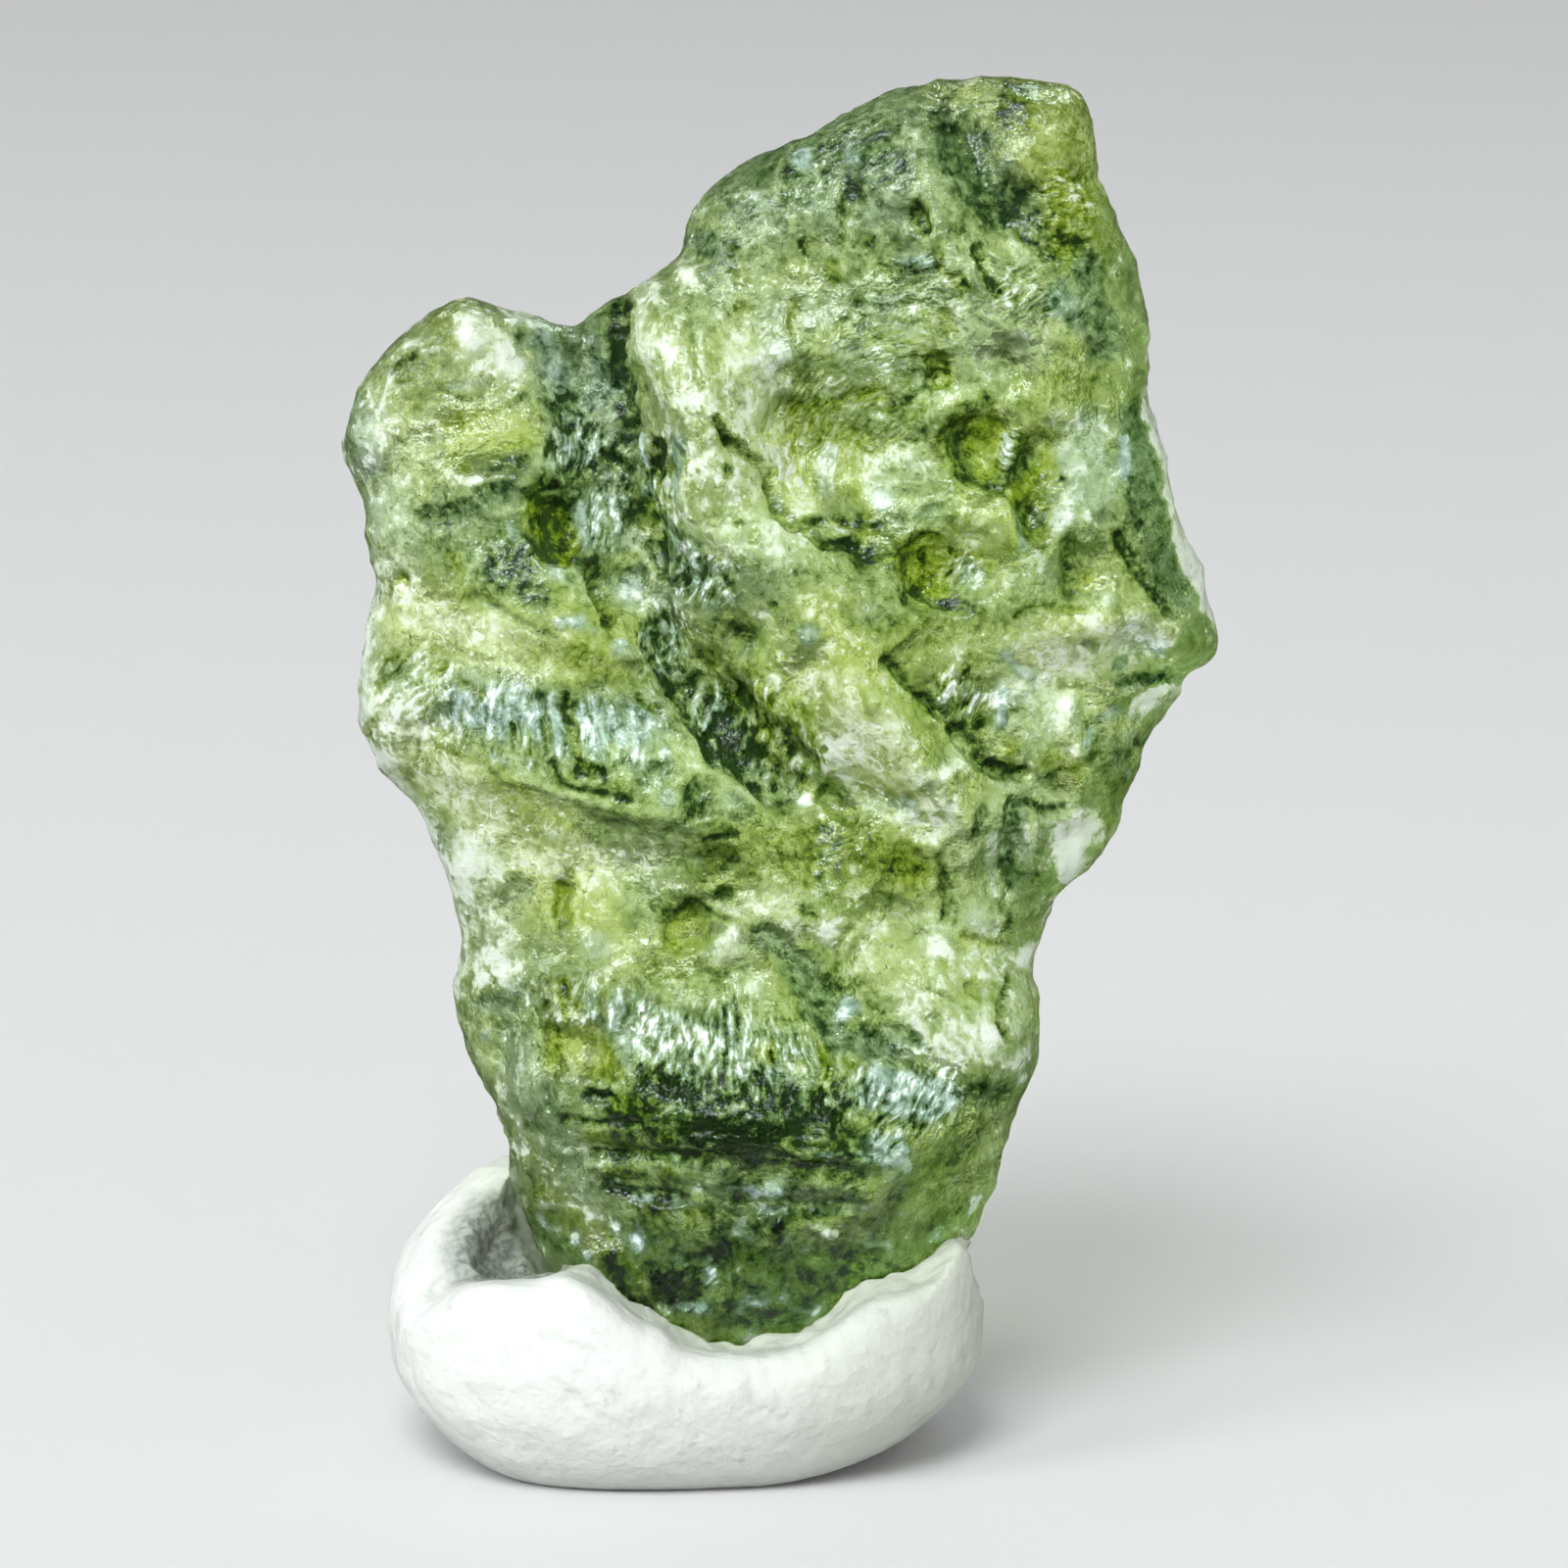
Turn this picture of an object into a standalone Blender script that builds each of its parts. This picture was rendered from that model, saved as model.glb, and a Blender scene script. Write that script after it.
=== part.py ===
"""A moldavite specimen: one piece of etched green tektite glass, standing in a pressed pad of white putty.

The shapes are worked out in millimetres, and the last step turns each of them into metres. +X is to the right
of the stone's best face, +Y points to its back and +Z up. The origin is at the middle of the footprint, on the
surface that the pad stands on.
"""

import math

import bmesh
import bpy
import numpy as np
from mathutils import Matrix

METRES = 0.001

# ---------------------------------------------------------------- driving dimensions, in millimetres

# The stone's outline, seen square to its best face: x to the right, and the height up the stone. It runs
# clockwise from the left shoulder of the pad, over the two lobes and their notch, and round the buried tip.
OUTLINE = [
    (-5.5, 5.95), (-5.6, 6.5), (-5.9, 7.05), (-6.25, 7.75), (-6.5, 8.35), (-6.75, 9.3), (-6.65, 10.2),
    (-6.7, 11.2), (-6.9, 11.95), (-7.2, 12.6), (-7.5, 13.25), (-7.85, 13.7), (-8.25, 14.1), (-8.5, 14.65),
    (-8.7, 15.45), (-8.7, 16.15), (-8.45, 17.2), (-8.3, 17.8), (-8.35, 18.35), (-8.5, 18.95), (-8.45, 19.5),
    (-8.55, 19.85), (-8.85, 20.6), (-8.75, 21.3), (-8.55, 21.95), (-8.15, 22.65), (-7.55, 23.15), (-7.0, 23.55),
    (-6.55, 23.75), (-5.95, 23.55), (-5.35, 23.3), (-4.45, 23.1), (-4.05, 23.1), (-3.6, 23.55), (-2.65, 24.2),
    (-2.05, 24.65), (-1.95, 25.1), (-1.65, 25.7), (-1.3, 26.05), (-0.55, 26.55), (0.2, 26.9), (1.25, 27.4),
    (2.15, 27.85), (2.95, 28.1), (3.35, 28.2), (3.7, 28.15), (4.6, 28.2), (5.45, 28.1), (5.85, 27.9),
    (6.15, 27.45), (6.3, 26.95), (6.35, 26.25), (6.55, 25.75), (7.05, 24.75), (7.25, 23.9), (7.45, 23.05),
    (7.35, 22.65), (7.45, 21.8), (7.9, 20.1), (8.35, 18.25), (8.65, 17.3), (8.85, 16.7), (8.7, 16.4),
    (8.25, 16.05), (8.0, 15.55), (7.65, 15.15), (7.45, 14.45), (7.2, 13.75), (6.9, 13.25), (6.6, 12.5),
    (6.05, 11.95), (5.5, 11.5), (5.25, 10.8), (5.0, 9.9), (5.15, 9.3), (5.2, 8.5), (5.05, 7.6), (4.65, 6.4),
    (4.25, 5.35), (3.8, 4.5), (3.35, 3.65), (2.45, 2.75), (1.4, 2.1), (0.35, 1.65), (-0.95, 1.4), (-2.15, 1.6),
    (-3.4, 2.2), (-4.45, 3.1), (-5.15, 4.25), (-5.45, 5.25),
]

LEAN_BACK_DEG = 5.0  # the stone leans away from the side of its best face
RIM = 0.32  # half the thickness of the stone's edge
RIM_WAVES = [(5, 0.9, 0.3), (9, 2.3, 0.25), (16, 0.4, 0.2)]  # how that changes round it: waves, start, share
ROUNDING = 3.4  # how far in from the edge the stone reaches its full thickness
EDGE_LEFT_PLAIN = 0.9  # the relief fades out this near the edge, which keeps the outline
SLAB = 1.0  # half the thickness of the flat blank that is swelled into the stone
BLANK_CELL = 0.21  # size of the blank's even cells
STONE_TRIANGLES = 7300

# Broad swells of the half thickness: x, height, radius across, radius up, amount. The first is the whole stone.
PLAIN_HALF = 1.5
SWELLS = [
    (0.8, 16.5, 7.5, 10.0, 1.1),
    (-0.6, 6.5, 4.2, 4.6, 1.0),
    (4.0, 21.5, 3.2, 4.5, 0.35),
]

# Long forms of the best face: name, line, height (below zero for a groove), width to the left of the line and
# width to its right, looking along it.
FRONT_CREASES = [
    ("slanting valley",
     [(-4.3, 24.0), (-4.1, 22.9), (-3.5, 21.0), (-2.8, 19.0), (-2.1, 16.8), (-1.0, 15.1), (0.3, 13.9), (1.7, 13.0)],
     -1.15, 0.75, 1.3),
    ("bright ridge",
     [(-3.0, 25.0), (-2.6, 23.9), (-1.9, 21.8), (-1.2, 19.8), (0.1, 18.0), (1.7, 15.9), (3.3, 14.1), (4.7, 12.6)],
     0.75, 1.2, 0.8),
    ("left lobe sill", [(-7.2, 19.7), (-6.2, 19.9), (-4.9, 20.1)], 0.4, 0.7, 0.45),
    ("upper left ledge", [(-8.0, 18.3), (-6.9, 18.2), (-5.2, 17.6), (-3.8, 16.9), (-3.0, 16.3)], 0.45, 1.4, 0.6),
    ("middle ledge",
     [(-9.0, 15.3), (-7.9, 15.2), (-7.1, 15.0), (-5.9, 14.7), (-4.7, 14.3), (-3.1, 13.8), (-1.6, 13.5), (0.6, 12.6)],
     0.85, 1.9, 0.75),
    ("lower ledge",
     [(-5.9, 7.6), (-4.9, 7.4), (-3.2, 7.2), (-1.6, 7.0), (0.1, 6.8), (1.9, 6.5), (3.2, 7.2), (4.6, 8.0), (5.6, 8.6)],
     0.75, 2.2, 0.7),
    ("lower valley", [(-0.2, 11.1), (1.0, 9.9), (2.1, 8.9), (3.9, 7.9)], -0.55, 0.7, 0.6),
    ("right valley", [(2.1, 16.8), (2.8, 15.8), (3.7, 14.7), (4.8, 13.9), (6.0, 13.7)], -0.6, 0.9, 0.45),
    ("crown valley", [(3.7, 27.6), (4.0, 26.4), (4.5, 25.2), (4.2, 24.4)], -0.4, 0.6, 0.6),
    ("crown ridge", [(1.6, 27.0), (2.9, 25.6), (4.0, 24.4), (4.9, 23.0)], 0.25, 0.9, 0.5),
    ("foot groove, upper", [(-4.4, 6.6), (-2.9, 6.6), (-1.2, 6.3), (1.2, 6.1)], -0.32, 0.22, 0.3),
    ("foot groove, lower", [(-3.8, 5.9), (-2.4, 5.8), (-0.5, 5.5), (1.4, 5.5)], -0.32, 0.22, 0.3),
    ("foot ridge", [(-4.6, 4.6), (-3.0, 3.2), (-1.6, 2.3)], 0.3, 0.5, 0.5),
]

# Bowls etched into the best face: x, height, half length, half width, turn in degrees, depth.
FRONT_BOWLS = [
    (1.2, 20.7, 2.75, 1.85, -32, 0.95),
    (0.9, 24.0, 2.3, 1.5, 15, 0.35),
    (4.05, 20.8, 1.15, 0.8, 75, 0.7),
    (5.25, 20.2, 1.35, 0.75, 80, 0.65),
    (6.3, 20.6, 1.3, 0.8, 80, 0.25),
    (3.4, 18.5, 1.25, 1.0, 20, 0.7),
    (6.0, 18.2, 1.0, 0.8, 60, 0.5),
    (2.9, 22.3, 0.7, 0.6, 0, 0.35),
    (4.3, 22.4, 1.0, 0.7, 30, 0.35),
    (5.1, 15.7, 1.6, 1.3, 20, 0.5),
    (7.2, 16.6, 0.9, 0.7, -30, 0.4),
    (7.4, 15.4, 0.7, 0.5, 20, 0.5),
    (6.1, 12.8, 0.75, 0.6, 40, 0.55),
    (4.25, 12.3, 1.05, 0.42, 88, 0.45),
    (2.7, 25.5, 0.45, 0.3, 60, 0.25),
    (-6.3, 21.7, 1.7, 1.3, 25, 0.5),
    (-4.5, 19.2, 0.8, 0.6, 80, 0.4),
    (-3.2, 17.9, 0.65, 0.6, 0, 0.4),
    (-5.6, 19.0, 0.9, 0.6, 10, 0.25),
    (-1.75, 11.2, 0.62, 0.5, 60, 0.4),
    (-3.95, 8.6, 0.62, 0.62, 0, 0.4),
    (-4.45, 11.8, 0.5, 0.3, 85, 0.2),
    (-1.0, 10.3, 0.5, 0.42, 0, 0.25),
    (2.2, 10.6, 1.4, 1.1, -40, 0.35),
    (4.0, 10.2, 1.0, 0.7, 70, 0.3),
    (0.6, 16.4, 0.8, 0.5, 60, 0.3),
    (-0.6, 17.1, 0.7, 0.5, 80, 0.35),
    (1.6, 13.9, 0.7, 0.5, -40, 0.3),
    (-1.6, 4.6, 1.3, 0.9, 10, 0.3),
    (1.0, 4.2, 1.2, 0.9, -20, 0.3),
    (-3.4, 5.0, 0.9, 0.6, 30, 0.25),
]

# Flat breaks: a point on the face, the direction in which the face falls, its height there and its fall.
FRONT_BREAKS = [
    ("right bevel", (6.65, 21.5), (0.97, 0.24), 2.0, 1.5),
    ("foot facet", (2.9, 6.2), (0.9, -0.44), 2.9, 0.95),
    ("left fall", (-7.3, 20.5), (-1.0, 0.0), 1.55, 0.55),
]

# Bowls scattered over a face: seed, how many, half length, depth as a share of that.
FRONT_SCATTER = (7, 60, (0.45, 0.9), (0.1, 0.22))
BACK_SCATTER = (11, 95, (0.6, 1.9), (0.2, 0.42))

BACK_CREASES = [
    ("back valley", [(-7.6, 20.9), (-5.0, 19.6), (-2.2, 19.9), (0.6, 21.4), (2.6, 23.9), (2.4, 26.4)], -0.75, 1.0, 0.7),
    ("back ridge", [(-6.6, 14.6), (-3.8, 13.2), (-0.6, 13.9), (2.0, 15.9), (5.2, 16.5), (8.0, 17.9)], 0.6, 1.2, 0.8),
    ("back gully", [(1.6, 15.0), (2.3, 12.4), (1.4, 10.0), (2.4, 7.0)], -0.55, 0.8, 0.6),
    ("back shoulder", [(-5.6, 10.2), (-3.2, 9.1), (-0.9, 9.5), (1.1, 8.3)], 0.45, 0.6, 1.0),
]

# The pad of putty.
PAD_CENTRE = (-2.0, 0.1)
PAD_TURN_DEG = 6.0  # its long way is turned a little, the right end to the back
PAD_HALF = (6.14, 4.65)  # half its width and half its depth
PAD_BELLY = 2.75  # height at which it is widest
PAD_DROP = 3.6  # the pad's underside would round down to this far below its belly, and is cut off flat at 0
PAD_RISE = 2.4  # and its top rises to this far above the belly
PAD_SQUARENESS = 0.78  # 1 is a plain ball, and less is a ball pressed towards a block
SEAT_GAP = 0.3  # all round the stone, in the pocket that it presses
POCKET_CELL = 0.46

# Where the putty was pushed up or pressed down: x, y, radius across, radius deep, amount.
PAD_PRESSES = [
    (-5.8, 2.2, 2.4, 2.6, 1.1),
    (-5.6, -2.9, 2.6, 2.2, -1.35),
    (-0.7, -3.0, 2.5, 2.3, -2.5),
    (2.4, -2.6, 1.9, 1.9, -0.9),
    (-1.0, -3.1, 1.3, 2.0, -0.85),
    (3.9, 0.7, 1.3, 2.2, 1.4),
    (-1.0, 3.2, 3.2, 2.0, -0.3),
]

# A hollow beside the stone, left where the stone was rocked as it was pushed in: middle and half sizes.
ROCKED_HOLLOW = ((-5.5, -0.75, 4.7), (0.95, 1.25, 1.5))


# ---------------------------------------------------------------- curves and reliefs

def smooth_line(points, closed, steps):
    """Points along a smooth curve that passes through the given ones."""
    p = np.array(points, float)
    count = len(p)
    spans = count if closed else count - 1
    line = []
    for i in range(spans):
        if closed:
            a, b, c, d = (p[(i + k) % count] for k in (-1, 0, 1, 2))
        else:
            a, b, c, d = (p[min(max(i + k, 0), count - 1)] for k in (-1, 0, 1, 2))
        for t in np.arange(steps) / steps:
            bend = (2 * a - 5 * b + 4 * c - d) * t**2 + (3 * b - a - 3 * c + d) * t**3
            line.append(0.5 * (2 * b + (c - a) * t + bend))
    if not closed:
        line.append(p[-1])
    return np.array(line)


def distance_to_line(x, z, line, closed):
    """Distance to a line of short runs, the side of it (1 left, -1 right) and how far along it, from 0 to 1."""
    starts = line if closed else line[:-1]
    ends = np.roll(line, -1, axis=0) if closed else line[1:]
    nearest = np.full(len(x), np.inf)
    side = np.ones(len(x))
    along = np.zeros(len(x))
    for i, ((ax, az), (bx, bz)) in enumerate(zip(starts, ends)):
        dx, dz = bx - ax, bz - az
        t = np.clip(((x - ax) * dx + (z - az) * dz) / (dx * dx + dz * dz), 0, 1)
        away = np.hypot(x - ax - t * dx, z - az - t * dz)
        closer = away < nearest
        nearest[closer] = away[closer]
        side[closer] = np.sign(dx * (z - az) - dz * (x - ax))[closer]
        along[closer] = ((i + t) / len(starts))[closer]
    return nearest, side, along


def creases(x, z, rows):
    """Height that the ridges and grooves of a face add. Each one dies out towards its two ends."""
    height = np.zeros(len(x))
    for _, points, amount, left, right in rows:
        away, side, along = distance_to_line(x, z, smooth_line(points, False, 4), False)
        taper = np.sin(math.pi / 2 * np.clip(np.minimum(along, 1 - along) / 0.18, 0, 1))
        height += taper * amount * np.exp(-((away / np.where(side > 0, left, right)) ** 2))
    return height


def bowls(x, z, rows):
    """Depth that a face's bowls take away. Where two overlap the deeper one counts, which leaves a sharp crest."""
    depth = np.zeros(len(x))
    for cx, cz, long_half, short_half, turn, deep in rows:
        angle = math.radians(turn)
        along = ((x - cx) * math.cos(angle) + (z - cz) * math.sin(angle)) / long_half
        across = ((z - cz) * math.cos(angle) - (x - cx) * math.sin(angle)) / short_half
        depth = np.maximum(depth, deep * np.clip(1 - along**2 - across**2, 0, None))
    return depth


def breaks(x, z, height, rows):
    """The height with each flat break cut across it."""
    for _, (px, pz), (dx, dz), level, fall in rows:
        beyond = (x - px) * dx + (z - pz) * dz
        height = np.minimum(height, level - fall * beyond)
    return height


def scattered_bowls(seed, count, sizes, depths):
    """Bowls of mixed size and turn, scattered over a face with a fixed seed. The small ones are the most common."""
    chance = np.random.default_rng(seed)
    rows = []
    for _ in range(count):
        place = (chance.uniform(-8.8, 8.8), chance.uniform(2.0, 28.0))
        long_half = sizes[0] + (sizes[1] - sizes[0]) * chance.uniform() ** 1.7
        short_half = long_half * chance.uniform(0.55, 0.95)
        rows.append((*place, long_half, short_half, chance.uniform(0, 180), long_half * chance.uniform(*depths)))
    return rows


# ---------------------------------------------------------------- Blender helpers

def clear_scene():
    for obj in list(bpy.data.objects):
        bpy.data.objects.remove(obj)


def collection(name):
    made = bpy.data.collections.new(name)
    bpy.context.scene.collection.children.link(made)
    return made


def material(name, colour, roughness, clear=0.0):
    made = bpy.data.materials.new(name)
    made.use_nodes = True
    shader = made.node_tree.nodes["Principled BSDF"]
    shader.inputs["Base Color"].default_value = (*colour, 1.0)
    shader.inputs["Roughness"].default_value = roughness
    shader.inputs["Metallic"].default_value = 0.0
    shader.inputs["Transmission Weight"].default_value = clear
    shader.inputs["IOR"].default_value = 1.49
    return made


def with_modifier(mesh, kind, **settings):
    """The mesh as one modifier leaves it."""
    holder = bpy.data.objects.new("holder", mesh)
    bpy.context.scene.collection.objects.link(holder)
    modifier = holder.modifiers.new(kind.title(), kind)
    for name, value in settings.items():
        setattr(modifier, name, value)
    graph = bpy.context.evaluated_depsgraph_get()
    made = bpy.data.meshes.new_from_object(holder.evaluated_get(graph))
    bpy.data.objects.remove(holder)
    return made


def points_of(mesh):
    co = np.empty(len(mesh.vertices) * 3, np.float32)
    mesh.vertices.foreach_get("co", co)
    return co.reshape(-1, 3).astype(float)


def set_points(mesh, co):
    mesh.vertices.foreach_set("co", co.astype(np.float32).ravel())
    mesh.update()


def finish(mesh, name, look, group):
    """Gives a finished shape its node, its material and its size in metres."""
    mesh.transform(Matrix.Scale(METRES, 4))
    mesh.name = name
    mesh.materials.clear()
    mesh.materials.append(look)
    mesh.shade_smooth()
    obj = bpy.data.objects.new(name, mesh)
    group.objects.link(obj)
    return obj


# ---------------------------------------------------------------- the stone

def flat_blank():
    """A slab cut to the stone's outline, with an even skin of small cells."""
    curve = bpy.data.curves.new("outline", "CURVE")
    curve.dimensions = "2D"
    curve.fill_mode = "BOTH"
    curve.extrude = SLAB
    edge = smooth_line(OUTLINE, True, 4)
    spline = curve.splines.new("POLY")
    spline.points.add(len(edge) - 1)
    for point, (x, z) in zip(spline.points, edge):
        point.co = (x, z, 0, 1)
    spline.use_cyclic_u = True
    holder = bpy.data.objects.new("outline", curve)
    bpy.context.scene.collection.objects.link(holder)
    holder.rotation_euler.x = math.radians(90)
    graph = bpy.context.evaluated_depsgraph_get()
    mesh = bpy.data.meshes.new_from_object(holder.evaluated_get(graph))
    mesh.transform(Matrix.Rotation(math.radians(90), 4, "X"))
    bpy.data.objects.remove(holder)
    bpy.data.curves.remove(curve)
    shape = bmesh.new()
    shape.from_mesh(mesh)
    bmesh.ops.remove_doubles(shape, verts=shape.verts, dist=0.001)
    bmesh.ops.recalc_face_normals(shape, faces=shape.faces)
    shape.to_mesh(mesh)
    shape.free()
    return with_modifier(mesh, "REMESH", mode="VOXEL", voxel_size=BLANK_CELL)


def swollen(x, z):
    """Half the thickness of the stone before anything is etched."""
    inside, _, along = distance_to_line(x, z, smooth_line(OUTLINE, True, 2), True)
    rim = RIM * (1 + sum(share * np.sin(2 * math.pi * waves * along + start) for waves, start, share in RIM_WAVES))
    full = np.full(len(x), PLAIN_HALF)
    for cx, cz, wide, tall, amount in SWELLS:
        full += amount * np.exp(-(((x - cx) / wide) ** 2) - ((z - cz) / tall) ** 2)
    short = 1 - np.clip(inside / ROUNDING, 0, 1)
    return rim + (full - rim) * np.sqrt(1 - short**2)


def etched(x, z, height, crease_rows, bowl_rows, break_rows):
    """Depth of one face from the stone's middle plane, once that face is etched."""
    inside, _, _ = distance_to_line(x, z, smooth_line(OUTLINE, True, 2), True)
    fade = np.clip(inside / EDGE_LEFT_PLAIN, 0, 1)
    carved = height + fade * (creases(x, z, crease_rows) - bowls(x, z, bowl_rows))
    carved = breaks(x, z, carved, break_rows)
    return np.maximum(carved, np.minimum(height, RIM * 0.8))


def swelled_blank():
    mesh = flat_blank()
    co = points_of(mesh)
    x, y, z = co.T
    co[:, 1] = np.clip(y / SLAB, -1, 1) * swollen(x, z)
    set_points(mesh, co)
    return with_modifier(mesh, "SMOOTH", factor=0.5, iterations=3)


def stone_mesh():
    mesh = swelled_blank()
    co = points_of(mesh)
    x, y, z = co.T
    depth = np.abs(y)
    front = etched(x, z, depth, FRONT_CREASES, FRONT_BOWLS + scattered_bowls(*FRONT_SCATTER), FRONT_BREAKS)
    back = etched(x, z, depth, BACK_CREASES, scattered_bowls(*BACK_SCATTER), [])
    co[:, 1] = np.where(y < 0, -front, back)
    set_points(mesh, co)
    ratio = STONE_TRIANGLES / (2 * len(mesh.polygons))
    mesh = with_modifier(mesh, "DECIMATE", ratio=ratio, use_collapse_triangulate=True)
    mesh.transform(Matrix.Rotation(math.radians(-LEAN_BACK_DEG), 4, "X"))
    return mesh


# ---------------------------------------------------------------- the pad

def squared_ball(point):
    """A place on a unit ball, moved towards a block's with rounded edges."""
    flat = math.hypot(point.x, point.y)
    if flat < 1e-6:
        return 0.0, 0.0, point.z
    ring = [math.copysign(abs(c / flat) ** PAD_SQUARENESS, c) for c in (point.x, point.y)]
    out = flat**PAD_SQUARENESS
    return ring[0] * out, ring[1] * out, math.copysign(abs(point.z) ** PAD_SQUARENESS, point.z)


def pad_body():
    """A ball of putty, flattened on the surface below it and pushed about on top."""
    turn_x, turn_y = math.cos(math.radians(PAD_TURN_DEG)), math.sin(math.radians(PAD_TURN_DEG))
    shape = bmesh.new()
    bmesh.ops.create_uvsphere(shape, u_segments=40, v_segments=20, radius=1.0)
    for vert in shape.verts:
        ux, uy, uz = squared_ball(vert.co)
        x, y = PAD_HALF[0] * ux, PAD_HALF[1] * uy
        x, y = PAD_CENTRE[0] + x * turn_x - y * turn_y, PAD_CENTRE[1] + x * turn_y + y * turn_x
        z = PAD_BELLY + uz * (PAD_RISE if uz > 0 else PAD_DROP)
        on_top = max(uz, 0.0) ** 0.6
        for cx, cy, wide, deep, amount in PAD_PRESSES:
            z += on_top * amount * math.exp(-(((x - cx) / wide) ** 2) - ((y - cy) / deep) ** 2)
        vert.co = (x, y, z)
    everything = shape.verts[:] + shape.edges[:] + shape.faces[:]
    bmesh.ops.bisect_plane(shape, geom=everything, plane_co=(0, 0, 0), plane_no=(0, 0, 1), clear_inner=True)
    bmesh.ops.holes_fill(shape, edges=[edge for edge in shape.edges if edge.is_boundary], sides=0)
    bmesh.ops.recalc_face_normals(shape, faces=shape.faces)
    mesh = bpy.data.meshes.new("pad body")
    shape.to_mesh(mesh)
    shape.free()
    return mesh


def pocket_cutter(stone):
    """The stone's own shape, a little larger all round, which cuts the pocket that the stone has pressed."""
    grown = with_modifier(stone.copy(), "DISPLACE", strength=SEAT_GAP * 1.4, mid_level=0.0)
    return with_modifier(grown, "REMESH", mode="VOXEL", voxel_size=POCKET_CELL)


def hollow_cutter():
    """A small egg that cuts the hollow beside the stone."""
    middle, half = ROCKED_HOLLOW
    shape = bmesh.new()
    bmesh.ops.create_icosphere(shape, subdivisions=3, radius=1.0)
    bmesh.ops.scale(shape, vec=half, verts=shape.verts)
    bmesh.ops.translate(shape, vec=middle, verts=shape.verts)
    mesh = bpy.data.meshes.new("hollow cutter")
    shape.to_mesh(mesh)
    shape.free()
    return mesh


def pad_mesh(stone, cutters):
    mesh = pad_body()
    for name, shape in (("pocket cutter", pocket_cutter(stone)), ("hollow cutter", hollow_cutter())):
        cutter = bpy.data.objects.new(name, shape)
        cutter.hide_render = True
        cutter.display_type = "WIRE"
        cutters.objects.link(cutter)
        mesh = with_modifier(mesh, "BOOLEAN", operation="DIFFERENCE", object=cutter)
    return mesh


# ---------------------------------------------------------------- assembly

def centre_on_origin(meshes):
    """Moves all the shapes together, so that the middle of their box stands on the origin."""
    co = np.concatenate([points_of(mesh) for mesh in meshes])
    low, high = co.min(axis=0), co.max(axis=0)
    shift = (-(low[0] + high[0]) / 2, -(low[1] + high[1]) / 2, -low[2])
    for mesh in meshes:
        mesh.transform(Matrix.Translation(shift))


def main():
    clear_scene()
    parts = collection("moldavite specimen")
    cutters = collection("cutters")
    stone = stone_mesh()
    pad = pad_mesh(stone, cutters)
    centre_on_origin([stone, pad])
    glass = material("etched green glass", (0.33, 0.45, 0.14), 0.3, clear=0.9)
    putty = material("white putty", (0.88, 0.89, 0.86), 0.6)
    finish(stone, "moldavite", glass, parts)
    finish(pad, "putty_pad", putty, parts)


main()
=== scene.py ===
"""A moldavite specimen dressed for show: an etched, light-catching tektite pressed into a pad of white putty.

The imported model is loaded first, and both pieces start as copies of its solids. +X is to the right of the
stone's best face, +Y points to its back and +Z up.
"""

import math

import bpy
import numpy as np
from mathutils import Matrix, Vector, noise
from mathutils.bvhtree import BVHTree


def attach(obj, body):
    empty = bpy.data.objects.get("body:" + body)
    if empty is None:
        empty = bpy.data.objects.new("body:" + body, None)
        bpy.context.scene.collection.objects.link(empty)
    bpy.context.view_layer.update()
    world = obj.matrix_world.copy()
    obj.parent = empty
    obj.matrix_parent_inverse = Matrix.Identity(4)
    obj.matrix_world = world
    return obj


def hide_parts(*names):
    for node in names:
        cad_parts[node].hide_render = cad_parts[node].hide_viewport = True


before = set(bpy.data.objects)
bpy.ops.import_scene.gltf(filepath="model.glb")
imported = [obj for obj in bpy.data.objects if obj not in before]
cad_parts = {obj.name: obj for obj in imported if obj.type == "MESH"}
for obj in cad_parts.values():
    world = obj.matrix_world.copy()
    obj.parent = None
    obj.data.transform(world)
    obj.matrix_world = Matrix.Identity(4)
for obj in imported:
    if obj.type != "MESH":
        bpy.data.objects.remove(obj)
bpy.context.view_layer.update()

MM = 0.001

# ---------------------------------------------------------------- the stone: its skin
# Moldavite is natural glass that was splashed out by an impact, and then etched in the ground. The etching
# left shallow cups that meet in sharp crests, combed furrows and a fine frost. One closed skin stands for it.

SKIN_CELL = 0.095  # mm
SKIN_SOFTENING = 7  # rounds, which take the steps out of the new skin
KEPT_FACES = 0.71  # the share of faces that stays once the back is thinned
LEAN_BACK_DEG = 5.0
WIDE_CUP, MIDDLE_CUP, SMALL_CUP = 1.9, 0.85, 0.42  # mm across
WIDE_DEPTH, MIDDLE_DEPTH, SMALL_DEPTH = 0.18, 0.1, 0.03  # mm
FURROW_DEPTH = 0.07  # mm


def copy_of_node(node, name):
    """A piece of its own with the node's shape, its loose triangles merged."""
    bpy.ops.object.select_all(action="DESELECT")
    piece = bpy.data.objects.new(name, bpy.data.objects[node].data.copy())
    bpy.context.scene.collection.objects.link(piece)
    bpy.context.view_layer.objects.active = piece
    piece.select_set(True)
    bpy.ops.object.mode_set(mode="EDIT")
    bpy.ops.mesh.select_all(action="SELECT")
    bpy.ops.mesh.remove_doubles(threshold=0.002 * MM)
    bpy.ops.object.mode_set(mode="OBJECT")
    return piece


def apply_modifier(piece, kind, **settings):
    """Give a piece a modifier with these settings, and make its result the mesh."""
    modifier = piece.modifiers.new(kind.title(), kind)
    for name, value in settings.items():
        setattr(modifier, name, value)
    bpy.context.view_layer.objects.active = piece
    bpy.ops.object.modifier_apply(modifier=modifier.name)


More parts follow.
